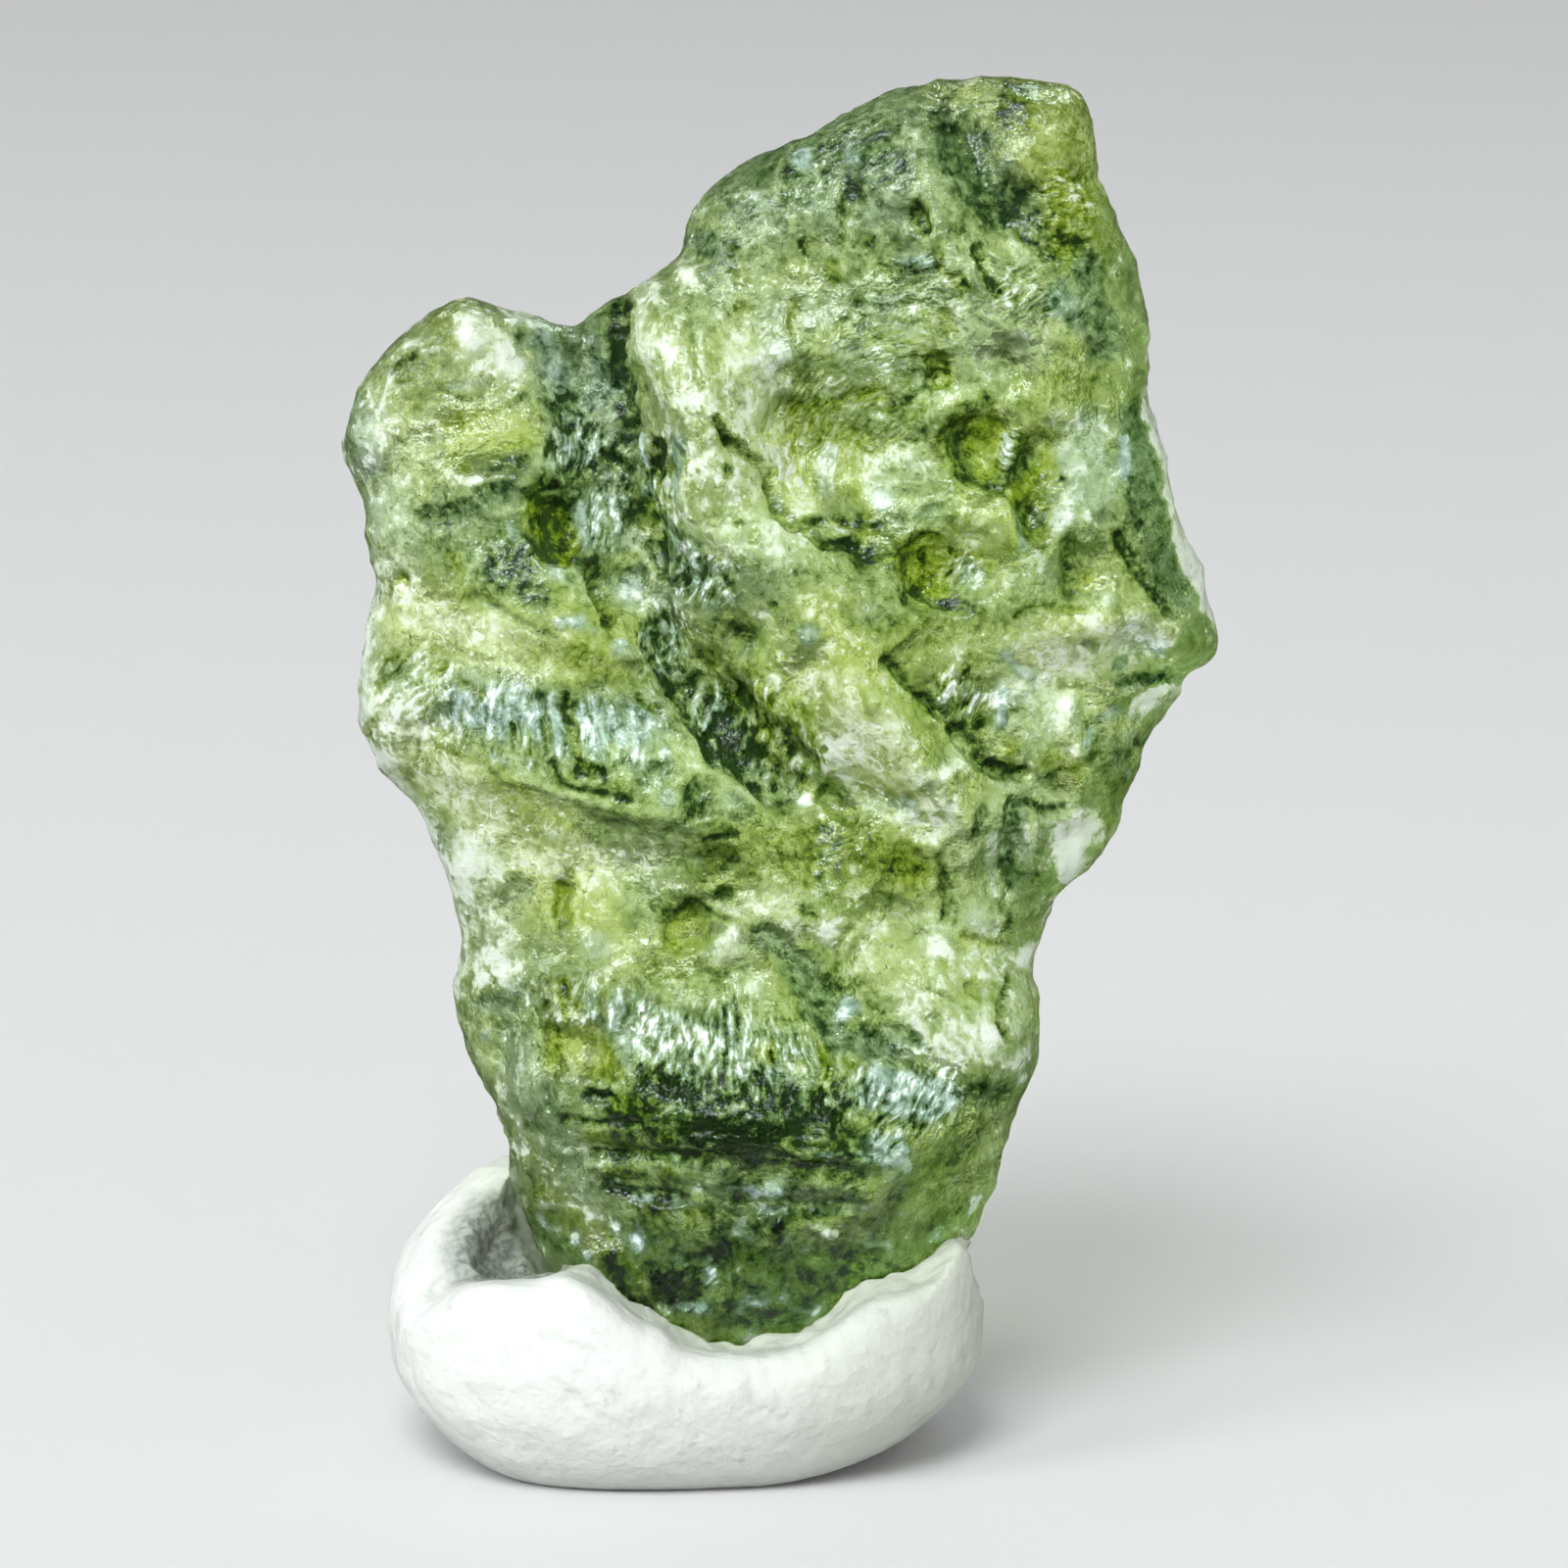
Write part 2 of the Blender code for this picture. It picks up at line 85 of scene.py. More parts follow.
def read_points(piece):
    """Places and outward directions of a piece's points, the places in millimetres."""
    mesh = piece.data
    co = np.empty(len(mesh.vertices) * 3, np.float32)
    out = np.empty(len(mesh.vertices) * 3, np.float32)
    mesh.vertices.foreach_get("co", co)
    mesh.vertices.foreach_get("normal", out)
    return co.reshape(-1, 3).astype(float) / MM, out.reshape(-1, 3).astype(float)


def write_points(piece, co):
    """Move a piece's points to these places, in millimetres."""
    piece.data.vertices.foreach_set("co", (co * MM).astype(np.float32).ravel())
    piece.data.update()


def steps(value, low, high):
    """0 below low and 1 above high, with a soft change between."""
    t = np.clip((value - low) / (high - low), 0, 1)
    return t * t * (3 - 2 * t)


def noise_at(co, size, seed=0.0):
    """Soft noise between about -1 and 1, with lumps of the given size in millimetres."""
    shift = Vector((seed, seed * 1.7, -seed * 0.6))
    return np.array([noise.noise(Vector(p) / size + shift) for p in co.tolist()])


def reach_of(path, x, z):
    """Distance of each point of the best face from a path of (x, height) corners."""
    if len(path) == 1:
        return np.hypot(x - path[0][0], z - path[0][1])
    reach = np.full(len(x), np.inf)
    for (ax, az), (bx, bz) in zip(path, path[1:]):
        dx, dz = bx - ax, bz - az
        share = np.clip(((x - ax) * dx + (z - az) * dz) / (dx * dx + dz * dz), 0, 1)
        reach = np.minimum(reach, np.hypot(x - ax - share * dx, z - az - share * dz))
    return reach


def cups_at(co, size, seed=0.0):
    """0 in the middle of each cup and about 1 on the sharp crests between cups."""
    shift = Vector((seed, -seed * 1.3, seed * 0.7))
    return np.array([noise.voronoi(Vector(p) / size + shift)[0][0] ** 2 for p in co.tolist()]) * 2.2


skin = copy_of_node("moldavite", "moldavite_skin")
apply_modifier(skin, "REMESH", mode="VOXEL", voxel_size=SKIN_CELL * MM)
apply_modifier(skin, "SMOOTH", factor=0.6, iterations=SKIN_SOFTENING)

# The best face keeps every point, and the back is thinned.
_, out = read_points(skin)
at_back = skin.vertex_groups.new(name="back")
at_back.add(np.nonzero(out[:, 1] > 0.1)[0].tolist(), 1.0, "REPLACE")
apply_modifier(skin, "DECIMATE", ratio=KEPT_FACES, vertex_group="back", vertex_group_factor=100.0)
skin.vertex_groups.clear()

co, out = read_points(skin)
lean = math.radians(LEAN_BACK_DEG)
face_x = co[:, 0]
face_z = co[:, 2] * math.cos(lean) + co[:, 1] * math.sin(lean)  # up the stone's own leaning face

# What is cut stays on the best face, and its colour goes on round the rim to a ragged edge.
on_face = steps(-out[:, 1], 0.0, 0.4)
seen_from_front = steps(0.25 * noise_at(co, 0.9, 71.0) - out[:, 1], -0.5, -0.1)

# Cups of three sizes, pushed out of round, and deeper in some stretches than in others.
wander = np.stack([noise_at(co, 2.2, seed) for seed in (3.1, 7.7, 12.3)], axis=1)
shiver = np.stack([noise_at(co, 0.5, seed) for seed in (2.3, 5.9, 8.4)], axis=1)
warped = co + 0.45 * wander
patchy = steps(noise_at(co, 3.4, 21.0), -0.35, 0.45)
relief = WIDE_DEPTH * (0.35 + 0.65 * patchy) * (cups_at(warped, WIDE_CUP, 1.0) - 0.5)
relief += MIDDLE_DEPTH * (0.3 + 0.7 * (1 - patchy)) * (cups_at(warped + 0.1 * shiver, MIDDLE_CUP, 5.0) - 0.5)
relief += SMALL_DEPTH * (cups_at(warped, SMALL_CUP, 9.0) - 0.5)

# Some stretches of the best face are smooth glass. Each is a path of (x, height) points and a half width.
CALM_FLATTENS = 0.65  # the share of the relief that is gone there
FACE_FLATTENS = 0.25  # and on the whole of the best face, where the strokes below bring relief of their own
calm = np.zeros(len(co))
for path, half_width in [
    ([(-7.0, 13.7), (-4.6, 12.6), (-4.2, 11.4)], 1.2), ([(1.0, 16.8), (2.3, 14.6)], 1.0),
    ([(4.1, 19.1)], 1.0), ([(-6.4, 21.3), (-5.2, 21.0)], 1.0), ([(5.0, 16.9), (6.4, 16.4)], 0.9),
    ([(-7.4, 17.2), (-5.4, 17.0)], 0.9), ([(0.3, 21.3), (1.4, 20.5)], 1.0), ([(2.4, 20.2)], 0.6),
    ([(3.4, 6.2), (2.8, 5.0)], 1.0),
    ([(-4.75, 19.3)], 0.7), ([(7.3, 20.5), (7.9, 18.4)], 0.6), ([(-2.3, 22.8), (-1.9, 21.0)], 0.7),
    ([(3.9, 20.9), (4.9, 20.1)], 0.7), ([(-1.9, 11.0), (-1.0, 10.7)], 0.7), ([(2.2, 10.4), (3.6, 9.2)], 0.8),
    ([(5.0, 15.4)], 0.8), ([(-4.0, 8.6)], 0.7), ([(3.4, 27.0), (4.4, 25.8)], 0.7),
]:
    calm = np.maximum(calm, 1 - steps(reach_of(path, face_x, face_z) / half_width, 0.4, 1.2))
calm *= on_face
relief *= (1 - CALM_FLATTENS * calm) * (1 - FACE_FLATTENS * on_face)

# The best face is worked stroke by stroke, in most places from broad to fine. Each stroke is a path of
# (x, height) points in millimetres, its half width, how deep it is cut (below zero: raised), how dark the
# glass is there (0 or less is white frost, 1 black) and how warm (1 is yellow olive, -1 cool grey-blue).
# Besides the glass's own colour the strokes hold painted light and shade: the small pale cool marks are
# painted glints, the pale rims painted highlights and the dark crescents in the pits painted shade.
FACE_TONE, BACK_TONE = 0.4, 0.18
THIN = 0.25  # mm: strokes of less than this half width have the most ragged edges
COVER = 0.92  # a stroke's own colour in its middle, over what lay there before

tone = np.where(out[:, 1] < 0, FACE_TONE, BACK_TONE) + 0.1 * noise_at(warped, 3.2, 31.0)
warmth = 0.35 + 0.6 * noise_at(warped, 2.6, 41.0)
cut = np.zeros(len(co))
stroke_x = face_x + 0.1 * wander[:, 0] + 0.07 * shiver[:, 0]
stroke_z = face_z + 0.1 * wander[:, 1] + 0.07 * shiver[:, 1]
ragged = 0.22 * noise_at(co, 0.7, 51.0) + 0.2 * noise_at(co, 0.28, 57.0)


def work(strokes):
    """Lay strokes one over the other. Broad ones fade out softly, and the others end in a harder edge."""
    for path, half_width, depth, dark, warm in strokes:
        wildness = 2.0 if half_width < THIN else 1.0
        inner, outer = (0.4, 1.4) if half_width > THIN else (0.62, 1.28)
        reach = reach_of(path, stroke_x, stroke_z) / half_width + ragged * wildness
        share = COVER * (1 - steps(reach, inner, outer)) * seen_from_front
        tone[:] += (dark - tone) * share
        warmth[:] += (warm - warmth) * share
        cut[:] += depth * np.clip(1 - reach**2, 0, 1) * on_face


# The crown: frosty and grey-green with small round pits, a smooth dark facet and a yellow-green corner.
work([
    ([(-0.6, 25.2), (1.8, 26.0)], 1.9, 0, 0.5, -0.3), ([(0.4, 24.0), (3.6, 23.8)], 1.2, 0, 0.42, -0.2),
    ([(0.6, 24.6), (1.9, 24.5)], 0.7, 0.05, 0.47, 0.3), ([(3.3, 25.4), (3.0, 26.2)], 0.5, 0, 0.36, 0.1),
    ([(5.4, 27.6), (5.9, 25.2)], 0.85, 0, 0.47, 0.9), ([(4.5, 27.6)], 0.5, 0, 0.72, 0.7),
    ([(5.3, 26.9), (5.6, 26.2)], 0.32, -0.05, 0.25, 0.9),
    ([(5.3, 24.85), (6.0, 24.8)], 0.25, 0.06, 0.75, 0.9),
    ([(3.4, 27.3), (3.6, 26.8), (4.1, 26.1), (4.6, 25.6)], 0.62, 0.1, 0.92, -0.3),
    ([(4.35, 26.35), (4.6, 26.6)], 0.14, 0, 0.5, -0.6), ([(4.8, 25.1), (5.2, 24.7)], 0.14, 0.1, 0.95, 0.5),
    ([(2.4, 27.3), (3.4, 27.6)], 0.2, 0, 0.7, -0.2), ([(3.0, 27.9), (4.2, 28.0)], 0.2, 0, 0.35, 0.4),
    ([(4.8, 24.3), (5.0, 22.9)], 0.62, -0.06, 0.27, -0.1), ([(5.6, 23.8), (6.2, 23.4)], 0.4, 0, 0.6, -0.9),
    ([(6.2, 24.4), (6.5, 22.8)], 0.35, 0.08, 0.78, -0.4), ([(-1.9, 24.25)], 0.4, -0.1, 0.04, 0.2),
    ([(-2.7, 23.9)], 0.42, -0.1, 0.08, 0), ([(-1.5, 25.3)], 0.35, 0, 0.35, 0.1),
    ([(-1.6, 24.9), (-1.0, 24.7)], 0.25, 0.05, 0.6, -0.6), ([(-0.3, 25.65)], 0.2, -0.05, 0.28, -0.6),
    ([(0.2, 25.35)], 0.14, -0.04, 0.17, 0.1), ([(0.4, 26.65)], 0.24, -0.04, 0.15, -1),
    ([(-0.5, 25.9)], 0.12, 0, 0.18, -0.5), ([(1.4, 26.7)], 0.2, 0, 0.32, -0.9),
    ([(2.75, 25.65), (2.85, 25.3)], 0.2, 0.16, 0.9, 0.5),
    ([(3.55, 24.3), (3.7, 24.0)], 0.15, 0.14, 0.92, 0.5),
    ([(3.95, 24.8), (4.1, 24.4), (4.35, 24.0)], 0.14, 0.14, 0.92, 0.3),
    ([(3.25, 23.6), (3.35, 23.2)], 0.14, 0.1, 0.8, 0.6),
    ([(3.1, 22.6), (3.15, 22.2)], 0.25, 0.14, 0.82, 0.9), ([(2.45, 24.25)], 0.26, 0.08, 0.65, 0.2),
    ([(1.55, 23.75)], 0.14, 0.08, 0.72, 0.4), ([(1.0, 24.5), (1.1, 24.15)], 0.14, 0.1, 0.75, 0.8),
    ([(0.25, 23.8), (0.25, 23.2)], 0.14, 0.08, 0.62, 0.8),
    ([(0.35, 25.0), (0.45, 24.65)], 0.12, 0.1, 0.8, 0.5), ([(1.4, 26.0), (1.3, 25.5)], 0.26, 0.1, 0.7, 0.2),
    ([(-0.9, 24.7), (-0.85, 24.3)], 0.2, 0.08, 0.75, 0.2),
    ([(4.4, 22.8), (4.5, 22.4)], 0.12, 0.08, 0.72, 0), ([(3.15, 24.9), (3.2, 24.4)], 0.12, 0.06, 0.65, 0.4),
    ([(0.6, 23.3)], 0.24, -0.05, 0.18, -0.6), ([(2.3, 24.65), (2.9, 24.6)], 0.14, -0.04, 0.34, -0.8),
    ([(-0.8, 23.6)], 0.22, 0.05, 0.66, 0.5), ([(1.7, 25.0)], 0.16, 0.06, 0.68, 0.7),
])

# The long bright ridge from the crown's left end down to the right, and the dark crack on its right.
work([
    ([(-0.9, 22.9), (-1.0, 21.9)], 0.5, 0, 0.28, 0.5), ([(-0.1, 22.7)], 0.36, 0, 0.24, -0.5),
    ([(-2.6, 23.3), (-2.1, 22.2), (-1.75, 21.0), (-1.6, 20.1)], 0.58, -0.12, 0.07, 0.3),
    ([(-1.6, 20.1), (-1.0, 19.3), (-0.2, 18.9)], 0.7, -0.1, 0.17, 0.3),
    ([(-2.85, 22.4), (-2.8, 21.9)], 0.18, 0.05, 0.55, 0.7),
    ([(-0.4, 18.6), (0.7, 17.9), (1.3, 17.4)], 0.8, -0.04, 0.34, -0.1),
    ([(0.9, 17.2), (1.6, 15.8), (2.2, 14.7)], 1, -0.06, 0.2, 1),
    ([(1.9, 14.4), (2.6, 14.0)], 0.7, 0, 0.12, 1),
    ([(1.6, 13.45), (2.5, 13.45)], 0.32, 0, 0.26, -0.9), ([(0.4, 17.0), (-0.2, 17.6)], 0.4, 0, 0.36, 0.4),
    ([(1.65, 17.6)], 0.3, -0.05, 0.18, -0.3), ([(1.2, 17.7), (1.3, 17.35)], 0.1, 0, 0.45, 0.3),
    ([(0.5, 17.2)], 0.18, 0, 0.32, -0.8), ([(-0.1, 16.2)], 0.2, -0.06, 0.16, 0.1),
    ([(-1.9, 23.9), (-1.75, 22.9), (-1.7, 22.0)], 0.08, 0.06, 0.5, 0.3),
    ([(-2.3, 23.2), (-2.6, 23.6)], 0.07, 0.04, 0.4, 0.4),
    ([(-1.35, 21.4), (-1.1, 21.0), (-0.8, 20.8), (-0.4, 20.5), (-0.25, 20.1), (-0.05, 19.65), (0.3, 19.35),
      (0.9, 19.4)], 0.12, 0.2, 1, 0.4), ([(0.6, 19.25), (0.9, 18.95), (1.35, 18.95)], 0.11, 0.14, 0.92, 0.4),
    ([(1.6, 18.85), (1.7, 18.65)], 0.27, 0.22, 0.97, 0.3),
    ([(1.15, 19.4), (1.9, 19.25)], 0.1, 0.1, 0.9, 0.6),
    ([(1.9, 18.55), (2.2, 18.7), (2.9, 18.95)], 0.1, 0.1, 0.75, 0.6),
    ([(1.35, 19.2), (1.1, 19.35)], 0.06, 0, 0.21, 0), ([(-1.1, 20.45)], 0.11, 0.06, 0.85, 0.3),
    ([(-0.85, 19.45)], 0.1, 0.05, 0.8, 0.3), ([(-0.17, 18.2)], 0.09, 0.05, 0.85, 0.3),
    ([(-0.15, 17.75)], 0.11, 0.06, 0.88, 0.3), ([(-0.8, 18.75)], 0.09, 0, 0.8, 0.3),
    ([(-0.55, 19.3), (-0.6, 19.1)], 0.07, 0, 0.65, 0.5), ([(-1.25, 19.7)], 0.12, 0, 0.6, 0.2),
    ([(1.1, 15.1)], 0.08, 0, 0.7, 0.4),
])

# The scooped hollow right of the crack, and the pale boss at its end.
work([
    ([(0.3, 21.2), (0.9, 20.8), (1.6, 20.2)], 0.8, 0.14, 0.48, 0.85),
    ([(0.15, 20.3), (0.5, 19.75)], 0.28, 0, 0.3, 1),
    ([(0.3, 21.6), (1.1, 21.7), (1.9, 21.9)], 0.22, 0.05, 0.64, 0.95),
    ([(1.5, 20.9), (1.65, 19.7)], 0.2, 0.04, 0.5, 0.9),
    ([(0.8, 22.9), (2.0, 23.1), (3.0, 23.3)], 0.45, 0, 0.45, 0.5),
    ([(1.3, 22.65), (2.3, 22.45)], 0.28, 0, 0.3, 0), ([(0.2, 22.3), (1.0, 22.2)], 0.3, 0.05, 0.5, 0.5),
    ([(0.95, 20.6), (0.9, 20.0)], 0.18, -0.03, 0.21, -0.4),
    ([(2.2, 20.2), (2.7, 20.4)], 0.5, -0.14, 0.1, 0.1), ([(2.0, 19.75)], 0.3, 0, 0.25, -0.8),
    ([(2.4, 21.5), (2.8, 21.7)], 0.25, 0.05, 0.6, 0.5), ([(0.55, 21.7)], 0.08, 0, 0.17, 0),
    ([(0.85, 21.6)], 0.07, 0, 0.18, 0), ([(1.7, 19.5), (1.75, 19.2)], 0.15, 0.05, 0.66, 0.9),
    ([(2.2, 19.2), (3.0, 19.5)], 0.25, 0.05, 0.55, -0.1),
])

# The right flank: four olive pits under sharp crests, two green bosses and a ledge.
work([
    ([(6.2, 21.2), (6.3, 19.8)], 0.5, 0, 0.36, -0.5), ([(5.6, 22.1), (4.8, 22.1)], 0.3, 0, 0.45, 0.6),
    ([(5.6, 21.4)], 0.35, -0.05, 0.28, 0.2), ([(3.95, 20.95)], 0.75, 0.26, 0.74, 1.3),
    ([(4.0, 21.7), (3.62, 21.4), (3.58, 20.8), (3.8, 20.4), (4.3, 20.1)], 0.3, 0.04, 0.92, 0.6),
    ([(4.15, 20.7), (4.1, 20.35)], 0.22, 0, 0.52, 1),
    ([(4.55, 21.0), (4.6, 20.6)], 0.2, -0.05, 0.31, -0.9),
    ([(4.3, 20.05), (4.7, 20.0)], 0.1, 0.05, 0.85, 0.5),
    ([(5.15, 20.8), (4.95, 20.0), (5.1, 19.3)], 0.46, 0.24, 0.8, 1.3),
    ([(4.9, 20.05)], 0.22, 0, 0.58, 1),
    ([(5.3, 20.95), (5.1, 20.5), (4.75, 20.2)], 0.18, 0.06, 0.95, 0.5),
    ([(5.05, 19.5), (5.25, 18.95)], 0.27, 0.06, 0.9, 0.6),
    ([(5.7, 20.7), (6.0, 20.0), (5.65, 19.3)], 0.26, -0.06, 0.1, -0.5),
    ([(5.15, 18.68)], 0.1, 0, 0.2, -0.4), ([(5.65, 20.15)], 0.08, 0.05, 0.85, 0.6),
    ([(4.1, 19.05)], 0.85, -0.16, 0.3, 1), ([(4.8, 19.5), (4.92, 18.8)], 0.1, 0, 0.42, -0.9),
    ([(3.75, 19.5)], 0.08, 0.05, 0.72, 0.7), ([(2.75, 18.65), (2.95, 18.2)], 0.52, 0.22, 0.78, 1.3),
    ([(2.55, 18.1), (3.0, 17.75), (3.6, 17.65), (4.1, 17.5)], 0.15, 0.08, 0.86, 0.5),
    ([(2.4, 18.4)], 0.2, 0.04, 0.88, 0.7), ([(2.4, 17.8)], 0.13, 0.08, 0.95, 0.4),
    ([(2.1, 17.85)], 0.1, 0.06, 0.92, 0.3), ([(3.35, 18.95), (3.45, 18.8)], 0.07, 0.04, 0.85, 0.4),
    ([(3.75, 18.45), (3.9, 18.2)], 0.25, 0, 0.1, -0.6),
    ([(5.85, 18.75), (5.75, 18.3), (5.85, 17.9)], 0.26, 0.12, 0.86, 0.4),
    ([(6.15, 18.05)], 0.24, 0.05, 0.38, 1), ([(6.65, 17.7)], 0.22, -0.08, 0.04, 0),
    ([(6.2, 18.65)], 0.25, 0.05, 0.6, 0.4), ([(5.3, 18.2)], 0.3, 0, 0.42, -0.2),
    ([(4.7, 17.45), (5.2, 17.7), (5.8, 17.5), (6.2, 17.45)], 0.09, 0.1, 0.85, 0.5),
    ([(5.4, 17.2), (6.5, 17.2)], 0.36, -0.06, 0.28, 1), ([(5.0, 16.6), (6.2, 16.3)], 0.5, 0, 0.3, 0.8),
    ([(6.1, 16.95), (6.3, 16.8)], 0.1, 0.03, 0.7, -0.2), ([(3.4, 17.3), (4.4, 17.0)], 0.4, 0, 0.42, 0.5),
])

# The right side's steep grey-green bevel, with the broken edge behind it bright with a painted highlight.
work([
    ([(7.05, 21.4), (7.25, 20.0), (7.7, 18.7), (8.1, 17.8)], 0.42, 0.05, 0.75, -0.5),
    ([(6.9, 20.9), (6.9, 20.2)], 0.16, 0, 0.4, -1),
    ([(6.8, 19.0), (7.2, 18.4), (7.6, 17.85), (7.9, 17.4)], 0.12, 0.14, 0.96, 0.3),
    ([(7.45, 19.4)], 0.2, 0, 0.5, 0),
    ([(7.35, 21.9), (7.75, 20.5), (8.05, 19.3), (8.35, 18.2), (8.7, 17.3)], 0.17, -0.02, -0.1, 0.1),
    ([(7.2, 17.0)], 0.45, 0, 0.4, -0.3), ([(7.7, 16.65)], 0.2, -0.05, 0.28, -0.9),
    ([(7.2, 16.9), (7.3, 16.5)], 0.08, 0, 0.7, 0), ([(8.4, 17.0)], 0.28, 0, 0.5, 0.2),
    ([(7.0, 16.0), (7.9, 16.05)], 0.16, 0.08, 0.82, -0.2),
    ([(7.25, 15.45), (7.95, 15.75)], 0.24, -0.06, 0.04, 0.2),
    ([(6.45, 15.3), (6.8, 15.5)], 0.14, 0, 0.32, -0.8), ([(6.9, 16.4)], 0.15, 0, 0.7, -0.4),
    ([(6.4, 15.1), (6.35, 14.2)], 0.32, 0.06, 0.66, 0.2), ([(7.0, 14.8), (6.9, 14.2)], 0.25, 0, 0.52, -0.1),
    ([(7.1, 14.0)], 0.1, 0, 0.3, -0.8), ([(7.35, 14.7)], 0.14, 0, 0.75, 0.2),
    ([(6.5, 13.8), (5.7, 13.9)], 0.35, 0, 0.5, 0.3),
])

# The right valley: a dark line with pale streaks of painted glint above it, and a bright boss.
work([
    ([(2.7, 16.9), (3.5, 16.3)], 0.65, 0.05, 0.46, 0.6),
    ([(4.9, 15.5), (5.4, 15.2)], 0.8, -0.16, 0.15, 0.15),
    ([(2.05, 16.6), (2.4, 16.1), (2.9, 15.7), (3.2, 15.35)], 0.12, 0.14, 0.87, 0.5),
    ([(3.5, 15.1), (3.9, 14.7), (4.3, 14.3), (4.9, 14.1)], 0.2, 0.18, 0.93, 0.3),
    ([(4.05, 15.15)], 0.2, 0.1, 0.92, 0.5), ([(3.22, 15.6), (3.5, 16.25)], 0.09, -0.05, 0.3, -0.8),
    ([(3.55, 15.55), (3.75, 16.1)], 0.06, -0.04, 0.23, -0.5),
    ([(3.75, 15.4), (3.95, 15.9)], 0.06, -0.04, 0.24, -0.5),
    ([(3.65, 16.9), (3.55, 16.4)], 0.08, -0.03, 0.25, 0.2),
    ([(4.35, 15.9), (4.4, 15.2)], 0.13, -0.05, 0.3, -1), ([(4.6, 14.75)], 0.28, 0, 0.36, 1),
    ([(5.4, 14.5), (6.0, 14.2)], 0.3, 0, 0.42, 0.9), ([(5.4, 14.1), (5.6, 14.3)], 0.08, 0.06, 0.95, 0.5),
    ([(6.0, 14.65)], 0.2, -0.06, 0.07, 0.2), ([(6.25, 15.1), (6.2, 14.8)], 0.09, 0, 0.27, -1),
    ([(4.95, 13.6), (5.3, 13.4), (5.7, 13.45)], 0.09, 0.06, 0.82, 0.2),
    ([(3.5, 14.6), (3.0, 14.2)], 0.35, 0, 0.3, 0.1), ([(4.9, 16.2), (4.5, 16.6)], 0.14, 0, 0.4, -0.8),
    ([(4.65, 15.5)], 0.06, 0.03, 0.8, 0),
])

# The left lobe: a green boss with a white facet, and the sill under it.
work([
    ([(-7.2, 22.2), (-6.0, 21.9)], 1.25, -0.1, 0.32, 0.4),
    ([(-8.5, 21.4), (-8.45, 20.4)], 0.32, 0, 0.24, -0.5),
    ([(-6.3, 23.0), (-5.6, 22.45)], 0.4, -0.08, -0.04, 0.1), ([(-7.5, 22.75)], 0.24, -0.04, 0.08, 0.1),
    ([(-5.75, 22.0)], 0.18, -0.03, 0.2, 0.2), ([(-7.75, 22.2), (-7.5, 22.4)], 0.2, 0.12, 0.78, 0.5),
    ([(-8.0, 22.2), (-7.97, 21.85), (-8.12, 21.5)], 0.08, -0.03, 0.07, -0.2),
    ([(-6.5, 21.1), (-5.2, 21.1)], 0.52, 0.05, 0.37, 1), ([(-6.45, 20.4)], 0.14, 0.03, 0.6, 1),
    ([(-5.8, 20.4), (-5.3, 20.5)], 0.16, 0.06, 0.74, 0.4),
    ([(-5.6, 23.35), (-4.9, 23.2), (-4.3, 23.05)], 0.12, 0, 0.14, 0), ([(-5.3, 22.85)], 0.22, 0, 0.6, -0.4),
    ([(-7.1, 23.3), (-6.8, 22.9)], 0.15, 0, 0.45, 0.7), ([(-6.9, 21.9), (-6.4, 21.7)], 0.1, 0.05, 0.6, 0.3),
    ([(-5.6, 21.6), (-5.2, 21.75)], 0.1, 0.04, 0.66, 0.4),
    ([(-6.2, 22.1), (-6.7, 22.0)], 0.12, 0, 0.23, -0.4),
    ([(-7.3, 20.6), (-6.4, 20.15), (-5.7, 20.15)], 0.1, -0.03, 0.26, 0.2),
    ([(-6.5, 20.1), (-6.1, 20.1)], 0.08, -0.03, 0.11, 0.1),
    ([(-7.1, 19.35), (-6.4, 19.5), (-5.8, 19.85), (-5.3, 19.8)], 0.3, 0.12, 0.8, -0.3),
    ([(-6.9, 19.85)], 0.22, 0.05, 0.6, -0.1), ([(-6.6, 18.9), (-5.4, 18.6)], 0.75, 0.04, 0.5, -0.2),
    ([(-5.2, 18.4), (-4.9, 17.9)], 0.4, 0.04, 0.63, 0.1), ([(-6.6, 19.2)], 0.09, 0, 0.21, -0.4),
    ([(-5.5, 19.3), (-5.4, 19.0)], 0.12, 0, 0.32, -0.9), ([(-5.8, 18.4)], 0.14, 0, 0.3, -0.9),
    ([(-7.9, 19.7), (-7.7, 18.6)], 0.5, 0, 0.3, -0.1), ([(-8.35, 19.6), (-8.3, 19.0)], 0.16, 0, 0.23, -0.4),
    ([(-7.72, 18.15)], 0.16, 0.12, 0.74, 1), ([(-7.45, 18.1), (-7.8, 18.5)], 0.09, -0.03, 0.24, 0.1),
    ([(-7.6, 17.4), (-6.5, 17.1), (-5.4, 17.1)], 0.6, -0.04, 0.26, 0.9),
    ([(-8.5, 17.2), (-8.6, 16.2), (-8.5, 15.4)], 0.3, 0, -0.02, 0.1),
    ([(-6.2, 17.9), (-5.3, 17.4), (-4.7, 17.1)], 0.1, 0.08, 0.64, 0.2),
    ([(-6.7, 18.6), (-6.6, 18.2)], 0.2, 0.03, 0.58, 0.6),
])
